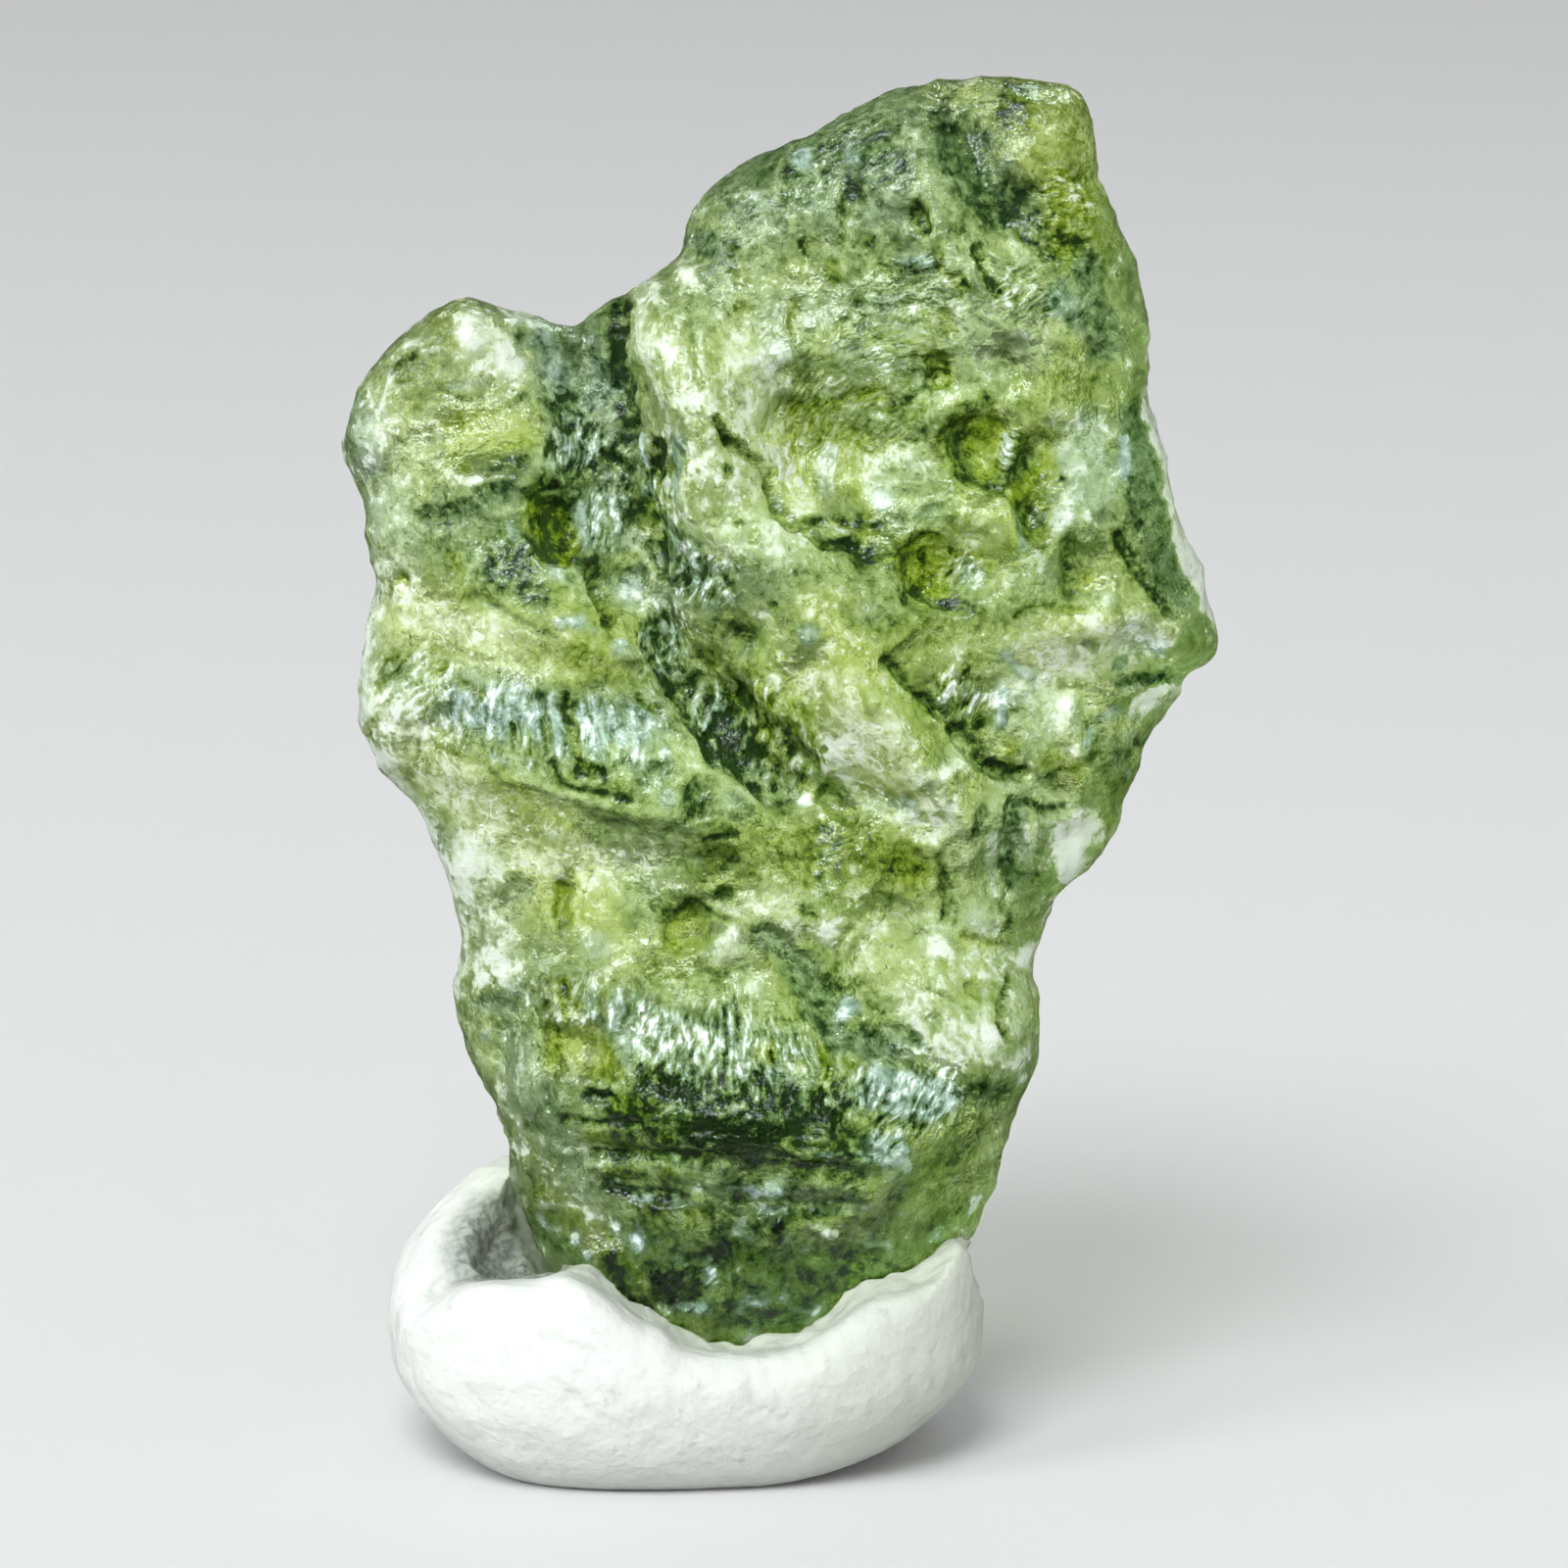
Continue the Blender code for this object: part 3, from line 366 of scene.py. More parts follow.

# The dark valley between the lobe and the ridge, with painted cool glints, and the gorge that it runs into.
work([
    ([(-4.1, 22.3), (-3.9, 21.2), (-3.7, 19.8), (-3.3, 18.6)], 1.05, 0.14, 0.62, -0.5),
    ([(-4.9, 22.9), (-4.5, 22.2)], 0.3, 0, 0.45, -0.9),
    ([(-2.4, 19.0), (-1.7, 18.3), (-1.4, 17.8)], 0.55, 0.08, 0.55, -0.6),
    ([(-2.3, 17.6), (-2.5, 16.8), (-2.3, 16.0)], 0.5, 0.1, 0.66, -0.5),
    ([(-1.8, 17.3), (-1.5, 17.0)], 0.3, 0, 0.4, 0.4), ([(-1.0, 17.4), (-0.6, 16.9)], 0.34, 0.05, 0.64, 0.4),
    ([(-1.9, 15.8), (-1.2, 15.0), (-0.7, 14.3), (0.1, 13.8)], 0.52, 0.22, 0.88, 0.2),
    ([(-0.8, 15.9), (-0.3, 15.2), (0.5, 14.4), (1.1, 13.7)], 0.34, 0.12, 0.82, 0.4),
    ([(-3.3, 23.5), (-3.4, 22.5), (-3.2, 21.6), (-3.15, 20.9)], 0.24, 0.26, 0.98, 0.1),
    ([(-3.4, 23.4)], 0.1, 0, 0.25, 0.3), ([(-4.3, 21.8), (-4.0, 21.6)], 0.2, 0.1, 0.82, -0.3),
    ([(-3.7, 22.5), (-3.6, 22.0)], 0.22, 0.05, 0.7, -0.8), ([(-3.8, 21.4)], 0.2, 0, 0.45, 0.1),
    ([(-3.55, 20.6), (-3.3, 20.3), (-3.1, 19.8), (-2.95, 19.3)], 0.17, 0.14, 0.94, 0.3),
    ([(-2.55, 20.9), (-2.6, 20.3)], 0.15, 0.1, 0.92, 0.5),
    ([(-2.8, 19.6), (-2.7, 19.1)], 0.24, 0.12, 0.8, 0.8),
    ([(-2.75, 18.8), (-2.4, 18.2)], 0.19, 0.2, 1, 0.1),
    ([(-4.8, 19.6), (-4.5, 19.0)], 0.55, 0.28, 0.84, 1.3),
    ([(-4.6, 19.95), (-3.9, 20.2)], 0.25, 0.05, 0.72, 0.2),
    ([(-3.75, 18.5), (-3.65, 17.9), (-3.45, 17.4)], 0.22, 0.22, 0.92, 0.7),
    ([(-3.1, 17.8)], 0.3, -0.1, 0.2, -0.9),
    ([(-2.95, 18.7), (-2.75, 18.4), (-2.6, 18.15)], 0.07, -0.03, 0.21, 0.2),
    ([(-3.3, 18.4), (-3.0, 18.5)], 0.2, 0, 0.55, 0.5), ([(-4.55, 18.4)], 0.22, -0.04, 0.35, -0.8),
    ([(-4.5, 17.4), (-4.1, 17.4)], 0.2, -0.05, 0.32, -1), ([(-3.85, 17.2)], 0.12, -0.04, 0.3, -0.8),
    ([(-4.45, 21.0), (-4.35, 20.4)], 0.13, -0.04, 0.3, -1),
    ([(-4.1, 21.05), (-4.15, 20.5)], 0.09, -0.03, 0.28, -1),
    ([(-4.1, 19.5), (-3.95, 18.9)], 0.14, -0.04, 0.27, -1),
    ([(-3.75, 19.6), (-3.7, 19.1)], 0.08, -0.03, 0.3, -1),
    ([(-3.4, 19.5), (-3.25, 19.0)], 0.09, -0.03, 0.3, -0.9),
    ([(-2.9, 21.1), (-2.85, 20.5)], 0.11, -0.03, 0.28, -1),
    ([(-2.25, 19.4), (-2.1, 18.9)], 0.09, -0.03, 0.3, -1),
    ([(-1.85, 19.0), (-1.75, 18.5)], 0.12, -0.04, 0.28, -0.9),
    ([(-2.1, 21.0), (-2.05, 20.0)], 0.16, 0, 0.4, -0.9), ([(-2.7, 20.0), (-2.9, 19.8)], 0.12, 0, 0.3, -0.9),
    ([(-3.3, 16.8), (-2.7, 16.2)], 0.17, -0.06, 0.3, -1),
    ([(-4.1, 16.8), (-4.0, 16.5)], 0.16, 0.04, 0.7, 0.8),
    ([(-2.7, 16.6), (-2.55, 16.3)], 0.1, 0.06, 0.95, 0), ([(-2.15, 16.2)], 0.12, -0.04, 0.33, -0.8),
    ([(-1.45, 16.5)], 0.28, 0.05, 0.76, 0.8), ([(-1.6, 15.95), (-1.72, 15.3)], 0.08, -0.06, 0.29, -0.7),
    ([(-1.22, 15.9), (-1.42, 15.3)], 0.1, -0.06, 0.29, -0.8),
    ([(-1.3, 15.0), (-1.2, 14.4)], 0.07, -0.04, 0.26, -0.1),
    ([(-1.55, 14.9), (-1.4, 14.6)], 0.18, 0.06, 0.95, -0.2),
    ([(-0.42, 16.0), (-0.45, 14.9)], 0.09, -0.05, 0.42, 0.7),
    ([(-0.15, 16.0), (-0.2, 14.4)], 0.1, -0.06, 0.33, 0.7), ([(-0.78, 16.1)], 0.13, -0.04, 0.26, 0.1),
    ([(0.55, 15.7), (0.65, 14.9), (0.95, 14.2)], 0.13, -0.06, 0.38, 0.8),
    ([(0.42, 13.65)], 0.15, -0.04, 0.31, -1), ([(0.85, 14.8)], 0.09, 0.05, 0.95, 0.5),
    ([(-0.85, 14.6), (-0.6, 13.9)], 0.16, 0.1, 0.97, 0.2),
    ([(0.1, 14.9), (0.3, 14.5)], 0.18, 0.08, 0.93, 0.5), ([(0.85, 13.75), (1.3, 13.35)], 0.2, 0.14, 1, 0.4),
    ([(-0.25, 14.2), (-0.3, 13.6)], 0.09, 0, 0.3, -0.3), ([(0.0, 13.4)], 0.1, 0.05, 0.9, 0.4),
    ([(1.35, 13.62)], 0.07, 0, 0.21, -0.4),
    ([(-3.1, 16.6), (-2.5, 15.7), (-1.95, 15.0), (-1.55, 14.3), (-0.9, 13.8), (-0.4, 13.2)],
     0.18, -0.07, 0.4, 0.2),
])

# The combed slope under the lobe, painted grey-blue reflection with painted glints, and the ledge that ends
# it.
work([
    ([(-7.6, 15.8), (-6.6, 15.7)], 0.6, 0, 0.4, -0.1),
    ([(-6.2, 15.6), (-4.6, 15.4), (-3.2, 15.2)], 0.72, 0.06, 0.45, -1.1),
    ([(-2.8, 14.15), (-2.5, 14.4)], 0.28, 0.04, 0.66, -0.3),
    ([(-2.2, 14.7), (-1.9, 14.4)], 0.22, 0, 0.33, 0.3),
    ([(-1.75, 13.9), (-1.7, 13.5)], 0.32, 0.12, 0.88, 0.1),
    ([(-1.1, 13.6), (-0.9, 13.3)], 0.25, 0, 0.4, -0.4),
    ([(-4.35, 15.9), (-4.3, 15.2), (-4.05, 14.6), (-3.8, 14.3)], 0.12, 0.14, 0.93, 0.7),
    ([(-4.1, 14.4), (-3.6, 14.3)], 0.16, 0.08, 0.95, 0.6),
    ([(-4.75, 15.2), (-4.65, 14.7), (-4.5, 14.2)], 0.1, 0.1, 0.88, 0.3),
    ([(-5.45, 15.25), (-5.42, 14.75)], 0.08, 0.06, 0.85, 0.6),
    ([(-6.5, 16.05), (-6.1, 15.8)], 0.13, 0.06, 0.8, 0.4),
    ([(-4.88, 15.9), (-4.8, 15.2)], 0.06, 0.05, 0.82, 0.2),
    ([(-5.15, 15.1), (-5.0, 14.9)], 0.07, 0.04, 0.8, 0.2),
    ([(-2.95, 15.8), (-2.6, 15.5)], 0.09, 0.06, 0.9, 0.4),
    ([(-4.65, 15.9), (-4.6, 15.3)], 0.13, -0.04, 0.31, -1),
    ([(-5.3, 16.0), (-5.3, 15.6)], 0.16, -0.03, 0.33, -0.9),
    ([(-3.9, 15.4), (-3.85, 15.1)], 0.14, -0.04, 0.31, -1),
    ([(-5.9, 14.65), (-5.6, 14.5)], 0.12, -0.03, 0.32, -0.8),
    ([(-3.0, 14.8), (-3.0, 14.5)], 0.14, -0.03, 0.32, -0.8), ([(-2.4, 14.7)], 0.14, -0.03, 0.32, -0.8),
    ([(-6.5, 15.4)], 0.14, 0, 0.25, -0.9), ([(-3.5, 14.9), (-3.4, 14.4)], 0.12, -0.03, 0.21, 0.1),
    ([(-4.6, 14.95), (-4.5, 14.7)], 0.08, 0, 0.32, -0.8),
    ([(-5.1, 14.55), (-5.3, 14.3)], 0.12, 0, 0.23, -0.5),
    ([(-4.65, 14.15), (-3.9, 13.98), (-3.0, 13.8)], 0.09, 0.08, 0.82, 0.2),
    ([(-2.3, 13.9)], 0.2, 0, 0.35, -0.8),
    ([(-8.1, 14.9), (-7.0, 14.9), (-6.2, 14.6), (-5.4, 14.25), (-4.6, 13.95), (-3.6, 13.65), (-2.6, 13.45)],
     0.15, -0.06, 0.38, 0.3),
])

# The broad light slope under the ledge, with its white left edge of painted highlight and two long olive
# pits.
work([
    ([(-7.0, 14.1), (-5.6, 13.4), (-4.6, 12.8)], 0.85, -0.03, 0.23, 1),
    ([(-3.7, 13.2), (-2.8, 12.9)], 0.45, 0.04, 0.54, 0.2),
    ([(-6.1, 12.1), (-5.9, 10.4)], 0.75, -0.04, 0.07, 0.15),
    ([(-4.7, 12.4), (-3.6, 11.2)], 0.8, 0, 0.22, 1), ([(-3.2, 12.2), (-2.8, 11.4)], 0.5, 0.04, 0.47, 0.2),
    ([(-5.3, 11.9), (-5.6, 11.4)], 0.24, 0.03, 0.42, 0.1),
    ([(-8.4, 14.6), (-7.9, 13.9), (-7.45, 13.2), (-7.05, 12.3), (-6.7, 11.3), (-6.65, 10.2), (-6.7, 9.5)],
     0.24, 0, -0.02, 0.2), ([(-7.0, 12.85), (-6.95, 12.4)], 0.1, 0.03, 0.45, -0.5),
    ([(-4.55, 11.9), (-4.45, 11.2)], 0.21, 0.12, 0.64, 1), ([(-4.5, 12.1)], 0.12, 0, 0.21, -0.2),
    ([(-4.3, 12.2), (-4.2, 11.9)], 0.1, 0, 0.5, 0.9), ([(-3.8, 10.7)], 0.35, -0.04, 0.13, -0.2),
    ([(-4.4, 9.95), (-4.25, 9.4)], 0.16, 0.1, 0.74, 1), ([(-5.35, 9.7)], 0.26, -0.03, 0.18, -0.5),
    ([(-6.2, 9.3), (-5.6, 9.4)], 0.26, 0.04, 0.46, -0.4),
    ([(-3.75, 9.9), (-3.8, 9.5)], 0.17, -0.04, 0.31, -0.7),
    ([(-3.35, 9.8), (-3.4, 9.3)], 0.15, -0.04, 0.32, -0.8),
    ([(-3.05, 9.5), (-3.0, 8.6)], 0.13, 0.06, 0.7, 1), ([(-3.6, 10.1), (-3.65, 9.3)], 0.07, 0.04, 0.6, 0.9),
    ([(-2.45, 13.28)], 0.1, 0, 0.16, 0), ([(-2.3, 13.1)], 0.14, 0.05, 0.78, 0.4),
    ([(-3.15, 12.87)], 0.08, 0, 0.16, 0), ([(-4.6, 12.97)], 0.1, 0, 0.17, 0),
    ([(-5.4, 10.45)], 0.08, 0, 0.11, 0), ([(-2.0, 10.1), (-1.9, 9.7)], 0.12, 0.04, 0.62, 0.6),
    ([(-6.0, 10.1), (-5.75, 9.7)], 0.07, 0.03, 0.5, 0.2), ([(-5.4, 8.6), (-5.0, 7.6)], 0.5, 0, 0.4, -0.4),
    ([(-6.1, 8.7)], 0.14, 0, 0.29, -0.7), ([(-5.8, 8.0), (-5.5, 7.2)], 0.16, 0, 0.22, -0.1),
])

# The middle: crumbly mid green, an olive pit with a white boss beside it, and a grey diagonal hollow.
work([
    ([(-1.2, 12.6), (0.5, 12.6), (1.9, 12.8)], 0.85, 0.02, 0.55, 0.8),
    ([(-0.3, 11.6), (0.5, 11.3)], 0.5, -0.04, 0.24, 0.4), ([(2.5, 12.3)], 0.5, 0.03, 0.55, 1),
    ([(1.6, 11.8)], 0.4, -0.03, 0.28, 0.5), ([(1.4, 12.32)], 0.14, -0.04, 0.11, 0),
    ([(0.45, 11.5), (0.62, 11.35)], 0.09, 0.06, 0.92, 0.4), ([(-1.95, 11.0)], 0.5, 0.24, 0.7, 1),
    ([(-2.35, 11.35), (-1.9, 11.55), (-1.5, 11.4)], 0.13, 0.05, 0.96, 0.7),
    ([(-1.2, 11.75)], 0.2, 0.08, 0.82, 0.5), ([(-1.05, 10.7)], 0.42, -0.18, 0.04, 0.1),
    ([(-0.6, 9.85)], 0.24, -0.06, 0.1, 0),
    ([(-1.55, 11.5), (-0.9, 11.25), (-0.4, 11.1)], 0.1, -0.08, 0.27, 0.5),
    ([(-1.6, 10.2), (-1.2, 10.1)], 0.14, 0.05, 0.6, 0.3),
    ([(-0.9, 13.0), (-1.6, 12.9)], 0.1, 0.06, 0.85, 0.4),
    ([(-0.9, 12.5), (-1.3, 12.2)], 0.09, 0.05, 0.76, 0.3), ([(-1.75, 12.4)], 0.14, 0, 0.3, 0.2),
    ([(0.8, 13.1)], 0.14, 0.05, 0.8, 0.2), ([(1.1, 12.7)], 0.12, 0.03, 0.66, 0.4),
    ([(-0.1, 12.4)], 0.1, 0, 0.72, 0.5),
    ([(1.35, 11.0), (1.12, 10.6), (1.15, 10.2)], 0.09, 0.08, 0.85, 0.4),
    ([(0.8, 10.1), (1.2, 10.02)], 0.07, 0.04, 0.85, 0.3), ([(2.15, 12.3)], 0.1, 0, 0.76, 0.2),
    ([(3.2, 12.5), (3.3, 11.8), (3.35, 11.3)], 0.13, 0.1, 0.8, 0.3),
    ([(2.6, 10.7), (2.8, 11.0)], 0.18, 0.04, 0.52, 0.1), ([(2.2, 11.6)], 0.12, 0.03, 0.66, 0.3),
    ([(-0.35, 10.95), (0.25, 10.4), (0.7, 9.7), (1.0, 9.3)], 0.36, 0.14, 0.72, -0.4),
    ([(1.1, 8.95), (1.9, 8.7), (2.7, 8.75)], 0.34, 0.1, 0.72, -0.6),
    ([(1.15, 9.85)], 0.12, 0.04, 0.86, 0.1), ([(1.35, 9.4)], 0.22, -0.02, 0.26, -1),
    ([(0.95, 8.8)], 0.12, 0.04, 0.9, 0.3),
])

# The lower right: pale and bright, a dark slot, a white slot beside it and a white boss in the notch.
work([
    ([(3.6, 13.5), (3.6, 12.6)], 0.4, 0, 0.38, 0.4),
    ([(1.8, 10.7), (2.6, 10.2), (3.6, 9.8)], 0.72, -0.06, 0.13, 0.6),
    ([(2.8, 9.5), (3.7, 8.8)], 0.66, -0.05, -0.02, 0.2), ([(0.95, 10.95)], 0.32, -0.05, 0.04, 0.2),
    ([(3.1, 10.7)], 0.28, -0.04, 0.04, 0), ([(3.9, 11.3), (4.3, 11.0)], 0.3, 0, 0.2, -0.2),
    ([(3.6, 10.9), (4.3, 10.6)], 0.14, 0.04, 0.42, 0.9),
    ([(4.65, 13.5), (4.7, 12.7), (4.5, 11.8)], 0.25, 0.18, 0.86, -0.3),
    ([(4.05, 13.5), (3.9, 12.9)], 0.13, 0.08, 0.8, -0.1),
    ([(4.28, 13.15), (4.2, 12.5), (4.38, 11.7)], 0.13, -0.06, 0.11, 0),
    ([(5.1, 13.25), (5.0, 12.9)], 0.11, -0.03, 0.21, 0.3),
    ([(6.05, 13.0), (5.75, 12.4)], 0.46, -0.1, -0.12, 0.2),
    ([(5.3, 12.5), (5.2, 12.0)], 0.22, 0.04, 0.62, 0.2),
    ([(4.65, 11.1), (4.5, 10.8)], 0.16, 0.05, 0.66, 0.3),
    ([(4.45, 9.95), (4.35, 9.4), (4.35, 9.1), (4.47, 8.7)], 0.07, 0.1, 0.88, 0.2),
    ([(4.8, 9.6)], 0.25, 0, 0.34, 0.2), ([(4.75, 8.3)], 0.28, -0.05, 0.04, 0.2),
    ([(4.95, 10.5), (4.8, 10.2)], 0.18, 0, 0.16, 0.1),
    ([(2.9, 9.9), (3.3, 9.7), (3.7, 9.4)], 0.06, 0.04, 0.4, 0.3),
    ([(3.15, 9.3), (3.2, 9.1)], 0.08, 0.04, 0.5, 0.2), ([(5.15, 9.5), (5.2, 8.8)], 0.12, 0, 0.4, 0.9),
    ([(3.7, 9.9)], 0.08, 0, 0.5, 0.3),
])

# The great fan near the foot, its yellow-green drop with a black pit, and the blue-white patch of painted
# reflection.
work([
    ([(-2.9, 9.1), (-1.4, 8.7), (0.0, 8.3)], 0.85, 0.05, 0.4, -0.7),
    ([(-2.4, 8.1), (-0.6, 7.6), (1.0, 7.5)], 0.45, 0.08, 0.58, -0.1),
    ([(-4.6, 8.9), (-4.6, 8.2)], 0.26, 0.1, 0.7, 1), ([(-4.05, 8.75), (-3.8, 8.5)], 0.42, 0.05, 0.42, 1.6),
    ([(-3.95, 7.68), (-3.5, 7.78)], 0.15, 0.14, 1, -0.3), ([(-3.45, 8.25)], 0.26, 0.05, 0.7, 0.9),
    ([(-2.7, 8.3), (-2.3, 8.0)], 0.25, 0.06, 0.77, 0.6), ([(-0.3, 8.65)], 0.28, -0.04, 0.24, 1),
    ([(0.3, 8.4)], 0.25, -0.03, 0.14, 0.2), ([(0.82, 8.8), (0.85, 8.0)], 0.13, 0, 0.5, 1),
    ([(0.7, 7.85), (0.66, 7.35)], 0.15, 0.12, 0.96, 0.4),
    ([(-1.2, 8.6), (-1.2, 8.1)], 0.08, 0.08, 0.92, 0.5), ([(-0.5, 8.2), (-0.3, 7.6)], 0.1, 0.08, 0.9, 0.4),
    ([(1.9, 7.9), (3.2, 7.6)], 0.56, 0, 0.38, -1.4), ([(1.9, 6.75), (2.35, 6.5)], 0.36, 0, 0.38, -1.4),
    ([(1.9, 8.3)], 0.18, 0, 0.25, -1), ([(2.3, 8.4)], 0.12, 0.04, 0.8, -0.3),
    ([(2.45, 7.2)], 0.1, 0.04, 0.85, 0.1), ([(3.05, 8.15)], 0.1, 0, 0.7, -0.5),
    ([(1.3, 7.2)], 0.25, 0.05, 0.6, 0.4), ([(2.7, 8.9), (3.0, 8.6)], 0.1, 0, 0.85, -0.6),
    ([(3.95, 7.8), (4.25, 7.6)], 0.34, 0.12, 0.9, -0.2), ([(4.85, 7.85)], 0.18, 0, 0.19, 0.2),
    ([(3.4, 7.0), (3.9, 7.2)], 0.14, 0.03, 0.6, 0.3),
])

# The dark grooves above the foot, and the foot itself with its smooth right facet and small painted cool
# glints.
work([
    ([(-4.6, 7.2), (-4.3, 6.4), (-4.0, 5.7)], 0.38, 0, 0.44, -0.3),
    ([(-5.4, 7.2), (-5.35, 6.3)], 0.16, 0, 0.21, 0), ([(-5.0, 7.0)], 0.2, 0.04, 0.66, 0),
    ([(-3.4, 7.6), (-2.6, 7.6)], 0.25, 0.04, 0.7, 0.9), ([(-3.9, 6.85), (-2.3, 6.9)], 0.17, -0.05, 0.6, 1),
    ([(-3.4, 6.15), (-2.3, 6.1)], 0.15, -0.03, 0.7, 0.9),
    ([(-1.7, 7.2), (0.2, 7.0)], 0.22, 0.05, 0.82, 0.4),
    ([(-4.4, 7.1), (-3.6, 7.15), (-2.85, 7.28)], 0.1, 0.14, 0.95, 0.5),
    ([(-3.7, 6.45), (-2.9, 6.55), (-2.1, 6.6)], 0.14, 0.18, 0.99, 0.2),
    ([(-1.9, 6.5), (-0.6, 6.55), (0.5, 6.3), (1.8, 6.1)], 0.3, 0.2, 0.9, 0.3),
    ([(-3.5, 5.75), (-2.8, 5.55), (-2.1, 5.6)], 0.2, 0.14, 0.98, -0.2),
    ([(-2.2, 4.9), (-0.6, 4.4), (0.8, 4.3)], 1.05, 0, 0.8, 0.3),
    ([(-1.2, 5.7), (1.4, 5.6)], 0.36, 0.03, 0.78, -0.2), ([(-2.6, 5.2), (-1.6, 5.2)], 0.24, 0, 0.7, 0.8),
    ([(-4.9, 5.3), (-3.9, 4.7), (-3.0, 3.7), (-2.4, 3.2)], 0.28, -0.04, 0.52, 0.9),
    ([(-4.9, 4.5), (-4.2, 4.2)], 0.24, 0, 0.68, 0.1), ([(-4.95, 4.45)], 0.18, 0, 0.35, 0.6),
    ([(-3.6, 4.1), (-2.9, 3.3)], 0.16, 0.05, 0.85, 0.5), ([(-2.5, 3.9), (-2.0, 3.3)], 0.32, 0.08, 0.98, 0),
    ([(-1.0, 3.0), (0.4, 3.0)], 0.35, 0, 0.82, 0.2), ([(-1.65, 3.2)], 0.2, -0.04, 0.34, -1),
    ([(-0.6, 3.35)], 0.2, -0.04, 0.34, -1), ([(-0.1, 3.35)], 0.09, 0, 0.25, -0.9),
    ([(0.7, 4.95), (1.05, 4.75)], 0.16, -0.06, 0.24, 0.1),
    ([(-3.1, 4.6), (-3.0, 4.4)], 0.18, -0.03, 0.34, -0.9), ([(-0.2, 5.75)], 0.22, -0.03, 0.32, -0.8),
    ([(-0.4, 5.3), (-0.2, 5.2)], 0.1, 0, 0.4, -0.8), ([(-1.45, 3.95)], 0.1, 0, 0.28, -0.9),
    ([(-4.05, 4.2)], 0.12, 0, 0.3, -0.8), ([(-4.75, 4.7)], 0.13, 0, 0.3, -0.6),
    ([(1.4, 5.3)], 0.08, 0, 0.11, 0), ([(-2.4, 3.98)], 0.08, 0, 0.11, 0), ([(-1.8, 6.8)], 0.09, 0, 0.21, 0),
    ([(3.7, 6.8), (3.0, 5.5), (2.4, 4.3)], 0.68, -0.04, 0.6, 0.4),
    ([(2.6, 6.2), (1.9, 4.9)], 0.3, 0, 0.7, 0.3), ([(4.2, 6.6), (4.3, 6.0)], 0.24, 0, 0.4, 0.3),
    ([(3.9, 6.9), (3.4, 6.2)], 0.12, 0, 0.74, 0.1), ([(1.7, 3.5), (2.8, 3.4)], 0.16, 0.06, 0.87, 1),
    ([(1.2, 4.3)], 0.3, 0, 0.85, 0.6), ([(0.6, 2.8), (0.9, 3.1)], 0.14, -0.03, 0.28, 0),
    ([(1.1, 3.4), (1.5, 3.9)], 0.18, 0, 0.55, 0.7), ([(2.3, 6.9), (2.5, 6.2)], 0.16, 0, 0.25, -1),
    ([(0.7, 6.62), (1.6, 6.62)], 0.05, -0.03, 0.32, -1),
    ([(0.9, 6.35), (1.6, 6.38)], 0.05, -0.03, 0.33, -1),
    ([(-0.9, 6.75), (-0.2, 6.75)], 0.05, 0, 0.25, -0.9), ([(-2.7, 7.0), (-2.65, 6.75)], 0.09, 0, 0.26, 0.1),
])
